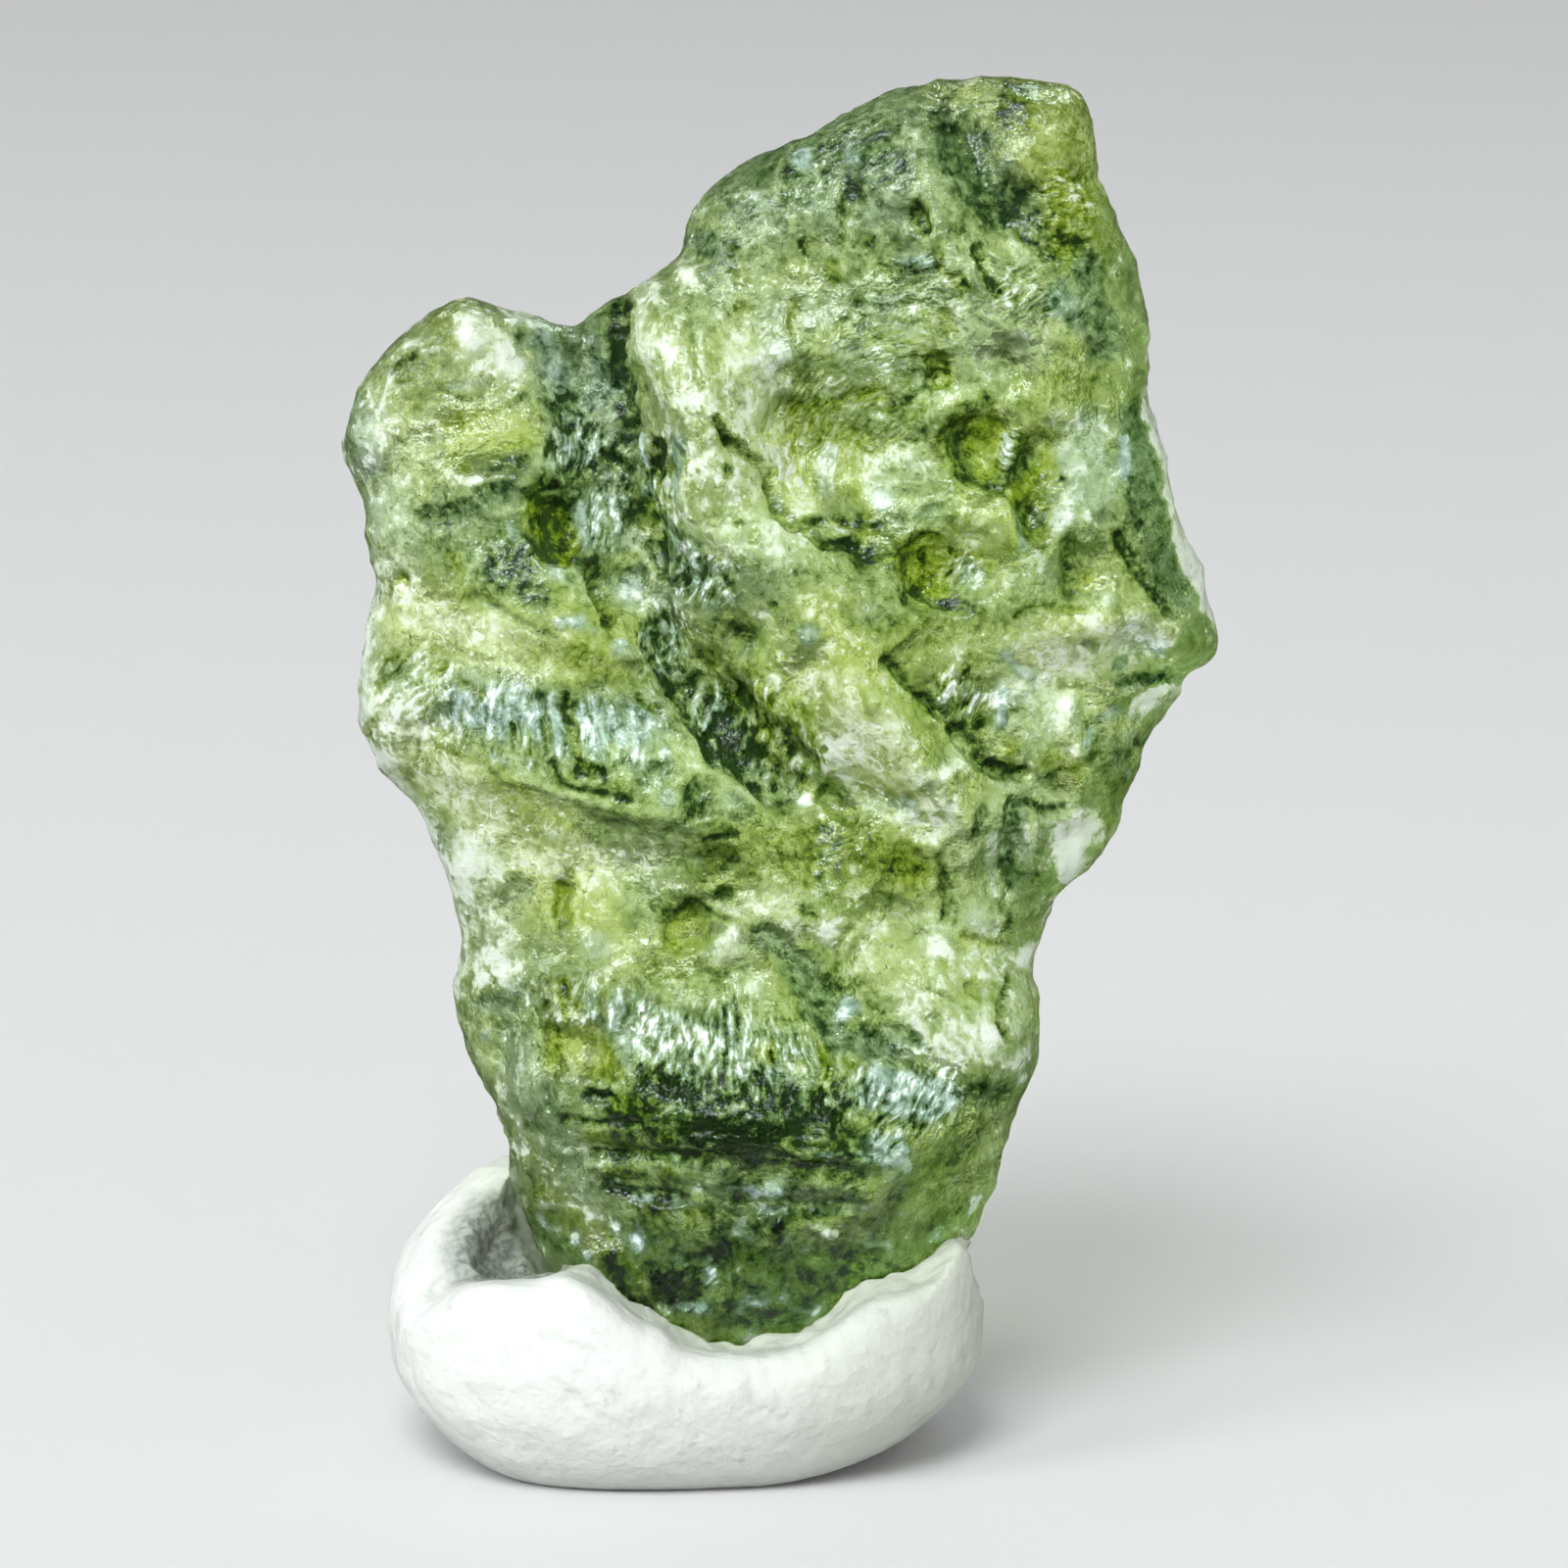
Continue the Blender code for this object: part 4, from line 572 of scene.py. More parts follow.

# Broad washes of painted light and shade over the strokes: a path, a half width and a change of tone, lighter
# (below zero) or darker.
LIGHTEST_WASH = 0.08  # no wash takes the tone below this
for path, half_width, change in [
    ([(-7.6, 14.6), (-6.3, 13.0)], 1.6, -0.17), ([(1.2, 14.6), (2.8, 13.4)], 1.3, -0.32),
    ([(-0.5, 22.8), (-0.4, 20.6), (0.2, 19.4)], 1.0, -0.36),
    ([(-8.2, 18.0), (-6.8, 17.0), (-5.4, 17.0)], 1.0, -0.18), ([(-8.4, 17.2), (-8.6, 15.6)], 0.5, -0.24),
    ([(-8.1, 21.2), (-8.2, 20.0)], 0.7, -0.19), ([(-6.0, 11.8), (-6.2, 9.2)], 0.9, -0.08),
    ([(-4.8, 12.5), (-3.0, 12.2)], 1.1, -0.15), ([(-3.2, 12.4)], 0.6, -0.19),
    ([(1.8, 11.4), (2.0, 12.0)], 0.9, -0.03), ([(4.4, 21.4), (7.2, 20.8)], 0.8, -0.11),
    ([(6.2, 21.2), (6.2, 20.0)], 0.7, -0.06), ([(5.0, 16.6), (7.6, 16.8)], 0.9, -0.28),
    ([(1.0, 20.8), (1.6, 20.2)], 0.8, -0.19), ([(4.1, 19.1)], 0.8, -0.12),
    ([(1.2, 16.0), (2.2, 14.8)], 0.8, -0.1), ([(-0.9, 19.3), (0.2, 17.6), (0.4, 16.4)], 1.0, -0.03),
    ([(-4.2, 21.9), (-4.0, 21.2)], 0.8, 0.08), ([(-6.2, 22.9), (-5.6, 22.3)], 0.6, -0.1),
    ([(-2.6, 22.2), (-2.4, 21.0)], 0.6, -0.14), ([(-4.2, 9.6), (-0.6, 8.9)], 0.9, -0.14),
    ([(-2.4, 17.3)], 0.9, -0.22), ([(0.1, 14.4), (0.6, 13.8)], 0.6, -0.23),
    ([(-3.1, 19.8), (-2.9, 18.9)], 0.6, -0.1), ([(5.6, 12.6), (6.2, 12.8)], 0.7, -0.2),
    ([(7.2, 17.0)], 0.8, -0.2), ([(-2.5, 22.8)], 0.7, -0.14), ([(-5.9, 22.7)], 0.6, -0.16),
    ([(4.7, 12.8)], 0.6, -0.25), ([(-4.5, 5.6), (-3.8, 4.6)], 0.7, -0.24), ([(-6.8, 15.6)], 0.7, -0.01),
    ([(-5.6, 15.5), (-4.2, 15.2)], 0.9, -0.02), ([(-2.8, 7.5), (-1.2, 7.3), (1.0, 7.2)], 1.2, 0.48),
    ([(-3.2, 6.5), (1.4, 6.3)], 0.7, 0.18), ([(-3.4, 3.6), (-0.6, 2.6), (2.6, 3.6)], 1.0, 0.14),
    ([(4.6, 27.6), (5.5, 26.6)], 0.8, 0.14), ([(0.2, 26.2), (2.0, 26.8)], 1.0, 0.26),
    ([(1.5, 23.0)], 0.7, 0.05), ([(2.8, 18.4)], 0.5, 0.05), ([(3.9, 20.9)], 0.6, 0.05),
    ([(5.1, 20.2)], 0.5, 0.06), ([(-0.2, 24.6), (1.6, 24.6)], 1.0, 0.03), ([(2.3, 20.3)], 0.6, 0.1),
    ([(-1.9, 15.7), (-0.6, 14.6)], 0.6, 0.19), ([(-4.6, 19.3)], 0.5, 0.12),
    ([(-5.4, 18.3), (-4.6, 19.6)], 0.9, 0.18), ([(-3.6, 17.4)], 0.7, 0.1),
    ([(-3.9, 14.4), (-2.4, 13.4)], 0.8, 0.12), ([(0.4, 12.8), (2.4, 12.6)], 0.9, 0.17),
    ([(2.2, 10.2), (3.8, 9.6)], 0.8, 0.1), ([(2.4, 17.9), (3.8, 17.6)], 0.5, 0.1),
    ([(4.5, 24.8), (5.5, 24.4)], 0.6, 0.1), ([(4.2, 26.0)], 0.9, 0.06),
    ([(-6.6, 19.0), (-5.6, 18.6)], 0.8, 0.18), ([(-1.9, 11.0)], 0.6, -0.2), ([(-4.1, 8.6)], 0.6, -0.1),
    ([(7.4, 19.4)], 0.6, 0.12),
]:
    share = (1 - steps(reach_of(path, stroke_x, stroke_z) / half_width, 0.2, 1.0)) * seen_from_front
    tone = np.maximum(tone + change * share, np.minimum(tone, LIGHTEST_WASH))

# Combed furrows of the best face. Each zone is an ellipse (x, height, half sizes, turn), the way in which its
# furrows run ("comb" at an angle, "fan" from a point or "ring" round one), their pitch and their strength.
FURROWS = [
    ("valley, upper", (-4.2, 20.9, 0.8, 0.8, 0), ("comb", 88), 0.26, 1.0),
    ("valley, middle", (-3.5, 19.4, 0.5, 0.8, 0), ("comb", 82), 0.24, 0.9),
    ("valley, right", (-2.4, 19.7, 0.6, 1.7, 8), ("comb", 95), 0.26, 1.0),
    ("valley, lower", (-1.6, 18.3, 0.95, 0.85, -40), ("comb", 68), 0.26, 1.0),
    ("valley, foot", (-2.4, 16.8, 0.8, 1.1, 0), ("comb", 100), 0.26, 0.9),
    ("gorge", (-0.5, 15.1, 2.0, 1.2, -42), ("comb", 88), 0.34, 0.9),
    ("under the lobe", (-4.8, 15.2, 2.8, 1.05, -8), ("fan", -4.6, 26.0), 0.3, 0.55),
    ("left shoulder", (-7.4, 16.0, 1.0, 0.9, 0), ("comb", 50), 0.36, 0.7),
    ("hollow", (1.4, 21.7, 2.4, 1.7, 35), ("ring", 3.0, 20.1), 0.24, 0.45),
    ("bright ridge", (-1.9, 21.8, 0.7, 2.2, 12), ("comb", 105), 0.4, 0.4),
    ("great fan", (-1.1, 8.6, 2.5, 1.4, -10), ("fan", -1.2, 14.5), 0.27, 0.85),
    ("fan, right", (1.2, 7.9, 0.8, 0.9, 0), ("comb", 80), 0.26, 0.9),
    ("blue-white patch", (2.7, 7.5, 1.3, 0.95, 30), ("comb", 58), 0.24, 0.8),
    ("foot grooves", (-0.4, 6.6, 3.0, 0.7, -3), ("comb", -3), 0.3, 0.5),
    ("right streaks", (3.6, 15.9, 0.7, 0.7, 0), ("comb", 70), 0.28, 1.0),
    ("pit glints", (4.6, 20.8, 0.4, 0.6, 0), ("comb", 150), 0.2, 0.9),
    ("boss glints", (3.6, 18.45, 0.6, 0.5, 0), ("comb", 50), 0.22, 0.9),
    ("crown streaks", (2.6, 24.1, 1.3, 0.7, 10), ("comb", 8), 0.3, 0.6),
    ("pale streaks", (4.9, 23.9, 0.7, 0.9, 30), ("comb", 28), 0.22, 0.6),
    ("corner", (5.7, 25.6, 0.7, 1.3, 0), ("comb", 5), 0.26, 0.6),
    ("bottom left", (-4.0, 9.6, 1.5, 0.7, 0), ("comb", 80), 0.36, 0.6),
    ("foot", (-1.4, 3.6, 1.8, 0.7, 0), ("comb", 40), 0.3, 0.4),
    ("pale slope", (3.6, 9.2, 1.3, 1.6, 0), ("comb", 115), 0.4, 0.35),
]


def ellipse_at(x, z, zone):
    """Squared distance from the middle of an ellipse on the best face: 1 is its edge."""
    cx, cz, long_half, short_half, turn = zone
    angle = math.radians(turn)
    along = ((x - cx) * math.cos(angle) + (z - cz) * math.sin(angle)) / long_half
    across = ((z - cz) * math.cos(angle) - (x - cx) * math.sin(angle)) / short_half
    return along**2 + across**2


across = np.zeros(len(co))  # counted in pitches
along = np.zeros(len(co))
combed = np.zeros(len(co))


def straight(angle):
    """Distances along and across furrows that run at an angle over the best face."""
    return face_x * np.cos(angle) + face_z * np.sin(angle), face_z * np.cos(angle) - face_x * np.sin(angle)


def comb(ways, pitch, share):
    """Lay furrows, from distances along and across them, where their share is more than what is there."""
    here = share > combed
    along[here] = (ways[0] / pitch)[here]
    across[here] = (ways[1] / pitch)[here]
    combed[here] = share[here]


for _, zone, way, pitch, strength in FURROWS:
    share = strength * (1 - steps(ellipse_at(stroke_x, stroke_z, zone) + 1.2 * ragged, 0.3, 1.1)) * on_face
    if way[0] == "comb":
        ways = straight(math.radians(way[1]))
    else:
        dx, dz = face_x - way[1], face_z - way[2]
        round_it = np.arctan2(dx, -dz) * math.hypot(zone[0] - way[1], zone[1] - way[2])
        outward = np.hypot(dx, dz)
        ways = (outward, round_it) if way[0] == "fan" else (round_it, outward)
    comb(ways, pitch, share)

# The back has furrows too, in patches that each run their own way.
BACK_PATCH = 4.6  # mm
BACK_PITCH = 0.34  # mm
patches = [noise.voronoi(Vector(p) / BACK_PATCH + Vector((3.0, 1.0, 7.0))) for p in warped.tolist()]
patch_edge = np.array([reaches[1] - reaches[0] for reaches, _ in patches])
patch_turn = np.array([math.sin(5.1 * middles[0].x + 9.7 * middles[0].z) for _, middles in patches])
share = steps(patch_edge, 0.04, 0.2) * steps(noise_at(co, 2.4, 61.0), -0.1, 0.35) * (1 - seen_from_front)
comb(straight(math.pi / 2 + 0.8 * patch_turn), BACK_PITCH, 0.9 * share)

# The furrows are lumps of noise, drawn out to twice their width, and a little wavy.
sheet = np.stack([across * 0.55, along * 0.26, np.zeros(len(co))], axis=1) + 0.22 * wander + 0.1 * shiver
furrow = noise_at(sheet, 1.0, 4.0)

lifted = relief - cut + FURROW_DEPTH * combed * furrow
write_points(skin, co + lifted[:, None] * out)
_, carved_out = read_points(skin)

# Painted shade and light, as from a lamp at the upper left: walls that turn down and to the right are darker,
# and crests are lighter than hollows, in the furrows too.
WALL_SHADE, CREST_LIGHT, FURROW_LIGHT = 0.42, 0.9, 0.34
lean_right, lean_up = (carved_out - out)[:, 0], (carved_out - out)[:, 2]
tone += WALL_SHADE * np.clip(0.5 * lean_right - 0.8 * lean_up, -0.7, 0.7)
tone -= CREST_LIGHT * np.clip(relief, -0.15, 0.15)

# Small blotches, stronger in dark and rough glass. The foot has more of them, and small painted cool glints.
patchwork = 0.11 * noise_at(warped, 0.6, 37.0) + 0.1 * noise_at(co, 0.24, 39.0)
tone += (0.3 + tone) * (1 - 0.5 * calm) * patchwork
tone += combed * (0.06 - FURROW_LIGHT * furrow)
in_foot = steps(-face_z, -7.0, -5.6) * seen_from_front
tone += in_foot * (0.2 * noise_at(co, 0.5, 43.0) - 0.3 * steps(noise_at(co, 0.34, 47.0), 0.3, 0.55))
warmth -= in_foot * 0.9 * steps(noise_at(co, 0.34, 47.0), 0.25, 0.5)


def keep_on_points(piece, **layers):
    """Keep values on a piece's points, under their names, for its material to read."""
    for name, values in layers.items():
        layer = piece.data.attributes.new(name, "FLOAT", "POINT")
        layer.data.foreach_set("value", values.astype(np.float32))


keep_on_points(skin, across=across, along=along, combed=combed, tone=tone, warmth=warmth, calm=calm)

# ---------------------------------------------------------------- the stone: its glass
# Bottle green where it is thick and yellow-green where it is thin. The etched skin scatters a part of the
# light: little where the glass is dark, and more than half of it in the white frost.

GLASS_IOR = 1.49
GLASS_CLEAR = 0.92  # the share of light that goes into clean glass
GLASS_FROSTED = 0.43  # and into white frost, which scatters the rest
GLASS_COLOUR = (0.58, 0.8, 0.2)
GLASS_DENSITY = 120.0  # for each metre of glass
COOL_FROST = 0.22  # how much less of the light goes into cool grey-blue glass
WANDER_SIZE, LINE_SIZE, GRAIN_SIZE, CELL_SIZE = 0.6, 0.65, 0.21, 0.13  # mm
DASH_DEPTH, GRAIN_DEPTH, GLINT_DEPTH = 0.2, 0.06, 0.035  # mm
# The lighter and cooler crests of the fine dashes are painted glints.
DASH_LIGHT, DASH_COOL = 3.0, 2.0  # how much lighter and cooler the crests of the fine dashes are


def new_material(name):
    """A material with a Principled shader, and its tree, its shader and its output."""
    made = bpy.data.materials.new(name)
    made.use_nodes = True
    nodes = made.node_tree.nodes
    return made, made.node_tree, nodes["Principled BSDF"], nodes["Material Output"]


def add_node(tree, kind, **settings):
    """A node with its settings, and its unlinked inputs given by name."""
    made = tree.nodes.new(kind)
    for name, value in settings.items():
        if hasattr(made, name):
            setattr(made, name, value)
        else:
            made.inputs[name.replace("_", " ")].default_value = value
    return made


def calculate(tree, operation, *values, clamp=False):
    """The result of a Math node for numbers or sockets."""
    made = tree.nodes.new("ShaderNodeMath")
    made.operation = operation
    made.use_clamp = clamp
    for socket, value in zip(made.inputs, values):
        if isinstance(value, (int, float)):
            socket.default_value = value
        else:
            tree.links.new(value, socket)
    return made.outputs[0]


def total(tree, *values, clamp=False):
    """The sum of several values."""
    while len(values) > 2:
        values = (calculate(tree, "ADD", *values[:2]), *values[2:])
    return calculate(tree, "ADD", *values, clamp=clamp)


def pattern(tree, kind, place, size, **settings):
    """A noise or cell texture with features of a size in millimetres."""
    made = add_node(tree, kind, Scale=1 / (size * MM), **settings)
    tree.links.new(place, made.inputs["Vector"])
    return made


def bump(tree, height, depth, under=None):
    """Raised by depth, in millimetres, where the height is 1."""
    made = add_node(tree, "ShaderNodeBump", Distance=depth * MM)
    tree.links.new(height, made.inputs["Height"])
    if under:
        tree.links.new(under, made.inputs["Normal"])
    return made.outputs[0]


def spread(tree, value, low, high, to_low, to_high):
    """A value's stretch from low to high, turned into another stretch."""
    made = add_node(tree, "ShaderNodeMapRange", interpolation_type="SMOOTHSTEP")
    for name, number in (("From Min", low), ("From Max", high), ("To Min", to_low), ("To Max", to_high)):
        made.inputs[name].default_value = number
    tree.links.new(value, made.inputs["Value"])
    return made.outputs[0]


def ramp(tree, value, stops):
    """A colour between the stops, each a position and its colour."""
    made = tree.nodes.new("ShaderNodeValToRGB")
    points = made.color_ramp.elements
    while len(points) < len(stops):
        points.new(0.5)
    for point, (position, colour) in zip(points, stops):
        point.position = position
        point.color = (*colour, 1)
    tree.links.new(value, made.inputs[0])
    return made.outputs[0]


glass, tree, shader, output = new_material("etched moldavite glass")
link = tree.links.new
shader.inputs["IOR"].default_value = GLASS_IOR
absorb = add_node(tree, "ShaderNodeVolumeAbsorption", Color=(*GLASS_COLOUR, 1), Density=GLASS_DENSITY)
link(absorb.outputs[0], output.inputs["Volume"])

place = add_node(tree, "ShaderNodeTexCoord").outputs["Object"]
layers = {name: add_node(tree, "ShaderNodeAttribute", attribute_name=name).outputs["Fac"]
          for name in ("across", "along", "combed", "tone", "warmth", "calm")}

# Furrows finer than the mesh: short wavy dashes, in a space that is stretched along them.
wandering = pattern(tree, "ShaderNodeTexNoise", place, WANDER_SIZE, Detail=1.0)
waved = calculate(tree, "ADD", wandering.outputs["Fac"], layers["across"])
stretched = add_node(tree, "ShaderNodeCombineXYZ")
link(calculate(tree, "MULTIPLY", waved, 2.0), stretched.inputs[0])
link(calculate(tree, "MULTIPLY", layers["along"], 0.75), stretched.inputs[1])
dashes = add_node(tree, "ShaderNodeTexNoise", Scale=1.0, Detail=2.0)
link(stretched.outputs[0], dashes.inputs["Vector"])
dash = calculate(tree, "MULTIPLY", calculate(tree, "SUBTRACT", dashes.outputs["Fac"], 0.5), layers["combed"])

grain = pattern(tree, "ShaderNodeTexNoise", place, GRAIN_SIZE, Detail=2.0, Roughness=0.6)
surface = bump(tree, dash, DASH_DEPTH)
surface = bump(tree, grain.outputs["Fac"], GRAIN_DEPTH, surface)

# Small cells: about one in eight is a glinting bump, and one in fifteen a pale speck.
points = pattern(tree, "ShaderNodeTexVoronoi", place, CELL_SIZE)
drawn = add_node(tree, "ShaderNodeSeparateColor")
link(points.outputs["Color"], drawn.inputs[0])
rare = spread(tree, drawn.outputs[0], 0.86, 0.9, 0.0, 1.0)
sparkle = calculate(tree, "MULTIPLY", spread(tree, points.outputs["Distance"], 0.0, 0.5, 1.0, 0.0), rare)
surface = bump(tree, sparkle, GLINT_DEPTH, surface)
link(surface, shader.inputs["Normal"])

winding = pattern(tree, "ShaderNodeTexNoise", place, LINE_SIZE, Detail=2.0)


def wrinkles(middle, width, depth):
    """Thin wandering lines, where a noise passes through the given value."""
    off = calculate(tree, "ABSOLUTE", calculate(tree, "SUBTRACT", winding.outputs["Fac"], middle))
    return spread(tree, off, 0.0, width, depth, 0.0)


link(spread(tree, wandering.outputs["Fac"], 0.35, 0.65, 0.16, 0.28), shader.inputs["Roughness"])

# How dark the glass is: the skin's tone, mottled and clouded most in rough stretches, with fine dark lines
# and pale lines of painted highlight beside them, light furrow dashes that are painted glints, and the
# specks.
rough_share = calculate(tree, "MULTIPLY_ADD", layers["calm"], -0.4, 1.3)
uneven = calculate(tree, "MULTIPLY", calculate(tree, "ADD", layers["tone"], 0.42), rough_share)
mottled = calculate(tree, "MULTIPLY", calculate(tree, "SUBTRACT", grain.outputs["Fac"], 0.5), uneven)
clouds = calculate(tree, "MULTIPLY_ADD", wandering.outputs["Fac"], 0.5, -0.25)
clouds = calculate(tree, "MULTIPLY", clouds, rough_share)
specks = calculate(tree, "MULTIPLY", spread(tree, points.outputs["Distance"], 0.0, 0.55, 1.0, 0.0),
                   spread(tree, drawn.outputs[1], 0.92, 0.95, 0.0, -0.35))
lines = calculate(tree, "MULTIPLY", wrinkles(0.5, 0.018, 0.22),
                  spread(tree, layers["tone"], 0.0, 0.4, 0.3, 1.0))
dark = total(tree, layers["tone"], -0.05, mottled, clouds, calculate(tree, "MULTIPLY", dash, -DASH_LIGHT),
             lines, wrinkles(0.57, 0.016, -0.15), specks)

# Cool places, and the furrows' light dashes, which are painted glints, are greyer and send more light back.
warm_share = calculate(tree, "MULTIPLY_ADD", layers["warmth"], 0.5, 0.5)
warm_share = total(tree, warm_share, calculate(tree, "MULTIPLY", dash, -DASH_COOL), clamp=True)
cool_frost = spread(tree, warm_share, 0.0, 0.3, -COOL_FROST, 0.0)
clear_share = spread(tree, dark, -0.16, 0.24, GLASS_FROSTED, GLASS_CLEAR)
link(calculate(tree, "ADD", clear_share, cool_frost), shader.inputs["Transmission Weight"])

# The colour runs from the whitest frost at 0 to the darkest glass at 1.
shade = calculate(tree, "MULTIPLY_ADD", dark, 0.89, 0.11, clamp=True)
yellow_green = ramp(tree, shade, [
    (0.0, (0.95, 1.0, 0.88)), (0.1, (0.9, 1.0, 0.62)), (0.32, (0.92, 1.0, 0.25)),
    (0.53, (0.46, 0.58, 0.025)), (0.72, (0.165, 0.26, 0.001)), (0.87, (0.03, 0.07, 0.0004)),
    (1.0, (0.002, 0.008, 0.0001)),
])
grey_green = ramp(tree, shade, [
    (0.0, (0.94, 1.0, 0.96)), (0.1, (0.86, 1.0, 0.94)), (0.32, (0.72, 0.93, 0.96)),
    (0.53, (0.32, 0.47, 0.45)), (0.72, (0.09, 0.175, 0.105)), (0.87, (0.016, 0.05, 0.018)),
    (1.0, (0.002, 0.008, 0.002)),
])
either = add_node(tree, "ShaderNodeMix", data_type="RGBA")
link(warm_share, either.inputs["Factor"])
link(grey_green, either.inputs["A"])
link(yellow_green, either.inputs["B"])
link(either.outputs["Result"], shader.inputs["Base Color"])

skin.data.materials.clear()
skin.data.materials.append(glass)
skin.data.shade_smooth()
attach(skin, "root")
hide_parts("moldavite")

# ---------------------------------------------------------------- the putty pad
# A pinch of white mineral tack, rolled into a ball, set down and pressed round the tip of the stone. It is
# swollen in front, open in a hollow at the left that is grey with painted shade, and torn where it meets the
# stone.

PUTTY_CELL = 0.11  # mm
GAP = 0.05  # mm, that is left between the putty and the stone
PRESSED_WITHIN = 0.9  # mm from the stone, where the putty was pressed up against it
HOLLOW_MIDDLE, HOLLOW_REACH = (-5.5, -0.9, 4.4), (1.25, 1.5, 1.4)  # mm
PRINT_MIDDLE = (-0.0052, -0.004, 0.0005)  # metres
PRINT_PITCH = 0.45  # mm
PUTTY_IOR = 1.45

putty_pad = copy_of_node("putty_pad", "pressed_putty")
apply_modifier(putty_pad, "REMESH", mode="VOXEL", voxel_size=PUTTY_CELL * MM)
apply_modifier(putty_pad, "SMOOTH", factor=0.5, iterations=8)
co, out = read_points(putty_pad)
above = steps(co[:, 2], 0.1, 0.8)
from_hollow = (co - HOLLOW_MIDDLE) / HOLLOW_REACH
hollow = 1 - steps(np.hypot(np.hypot(from_hollow[:, 0], from_hollow[:, 1]), from_hollow[:, 2]), 0.8, 1.5)
lumps = 0.05 * noise_at(co, 2.2, 2.0) + 0.02 * noise_at(co, 0.7, 6.0)
lumps += hollow * (0.22 * noise_at(co, 0.9, 14.0) + 0.12 * noise_at(co, 0.35, 16.0))
co += (above * lumps)[:, None] * out

# The front swells up to the stone in one curve, and meets it along this edge of (x, height) points.
LIP = [(-7.6, 3.4), (-6.4, 3.95), (-4.5, 4.02), (-3.8, 3.82), (-3.3, 3.42), (-2.8, 3.0), (-2.6, 3.06),
       (-2.3, 2.9), (-2.2, 2.5), (-2.0, 2.4), (-1.2, 2.2), (0.4, 2.4), (0.8, 2.7), (1.5, 3.25), (1.8, 3.45),
       (2.9, 3.55), (3.3, 3.9), (3.7, 4.35), (4.3, 4.1)]
LIP_BELLY = 1.3  # mm: the height at which the front stands out most
LIP_SQUARENESS = 5.0
LIP_RISE = 0.3  # for each mm in front of the stone
stone_points, _ = read_points(skin)
stone = BVHTree.FromPolygons(stone_points.tolist(), [tuple(face.vertices) for face in skin.data.polygons])
lip_x = np.linspace(LIP[0][0], LIP[-1][0], 90)
lip_z = np.interp(lip_x, *np.array(LIP).T)
backwards = Vector((0, 1, 0))
hits = [stone.ray_cast(Vector((x, -9.0, z)), backwards)[0] for x, z in zip(lip_x, lip_z)]
lip_y = np.array([hit.y if hit else np.nan for hit in hits])
known = ~np.isnan(lip_y)
lip_y = np.interp(lip_x, lip_x[known], lip_y[known])
lip_y = np.where(lip_x < -4.6, np.minimum(lip_y, -1.9), lip_y)  # in front of the hollow
front_y = np.array([co[np.abs(co[:, 0] - x) < 0.25, 1].min() for x in lip_x])
edge_y = np.interp(co[:, 0], lip_x, lip_y)
edge_z = np.interp(co[:, 0], lip_x, lip_z) + 0.1 * noise_at(co * (1, 0.2, 0.2), 0.35, 22.0)
outermost = np.interp(co[:, 0], lip_x, front_y)
inward = np.clip((edge_y - co[:, 1]) / (edge_y - outermost), 0, 1)  # 0 at the stone and 1 at the front
top_z = edge_z + LIP_RISE * np.clip(edge_y - co[:, 1], 0, 3)
swell = LIP_BELLY + (top_z - LIP_BELLY) * (1 - inward**LIP_SQUARENESS) ** (1 / LIP_SQUARENESS)
at_front = steps(co[:, 0], -8.2, -6.2) * (1 - steps(co[:, 0], 3.9, 4.7)) * (co[:, 1] < edge_y + 0.5)
facing_up = steps(out[:, 2], 0.0, 0.3) * steps(co[:, 2], 1.0, 1.6)
co[:, 2] += at_front * facing_up * (1 - steps(inward, 0.88, 1.0)) * (swell - co[:, 2])
co[:, 2] = np.where(at_front > 0.5, np.minimum(co[:, 2], top_z), co[:, 2])

# It rolls up from the table at both ends.
low = 1 - steps(co[:, 2], 0.2, 2.6)
co[:, 2] += low * (0.55 * steps(co[:, 0], -0.6, 3.8) + 0.4 * steps(-co[:, 0], 5.0, 8.2))
write_points(putty_pad, co)
rounded = putty_pad.vertex_groups.new(name="rounded")
weights = at_front * steps(inward, 0.06, 0.3) * steps(co[:, 2], 0.4, 1.0)
for index in np.nonzero(weights > 0.01)[0].tolist():
    rounded.add([index], weights[index], "REPLACE")
apply_modifier(putty_pad, "SMOOTH", factor=0.5, iterations=40, vertex_group="rounded")
apply_modifier(putty_pad, "SMOOTH", factor=0.5, iterations=4)
putty_pad.vertex_groups.clear()
co, out = read_points(putty_pad)
fine_lumps = 0.02 * noise_at(co, 0.6, 6.0) + 0.01 * noise_at(co, 0.3, 8.0)
co += (steps(co[:, 2], 0.1, 0.8) * fine_lumps)[:, None] * out

# It touches the stone nearly all round, with a torn and crumbly edge.
nearest = [stone.find_nearest(Vector(p)) for p in co.tolist()]
touch = np.array([tuple(place) for place, _, _, _ in nearest])
distance = np.array([reach for _, _, _, reach in nearest])
pressed = (1 - steps(distance, 0.45, PRESSED_WITHIN)) * (1 - 0.8 * hollow) * above
gap = GAP + 0.1 * np.clip(noise_at(co, 0.4, 9.0), 0, 1)
move = pressed * np.clip(1 - gap / np.maximum(distance, 0.001), -1, 1)
co += (touch - co) * move[:, None]
crumbs = steps(distance, 0.1, 0.4) * (1 - steps(distance, 0.7, 1.2)) * above * (1 - hollow)
co += (crumbs * (0.09 * noise_at(co, 0.4, 28.0) + 0.05 * noise_at(co, 0.2, 29.0)))[:, None] * out
write_points(putty_pad, co)
apply_modifier(putty_pad, "SMOOTH", factor=0.4, iterations=1)
keep_on_points(putty_pad, hollow=hollow, near_stone=np.clip(1.0 - distance / 1.6, 0, 1))

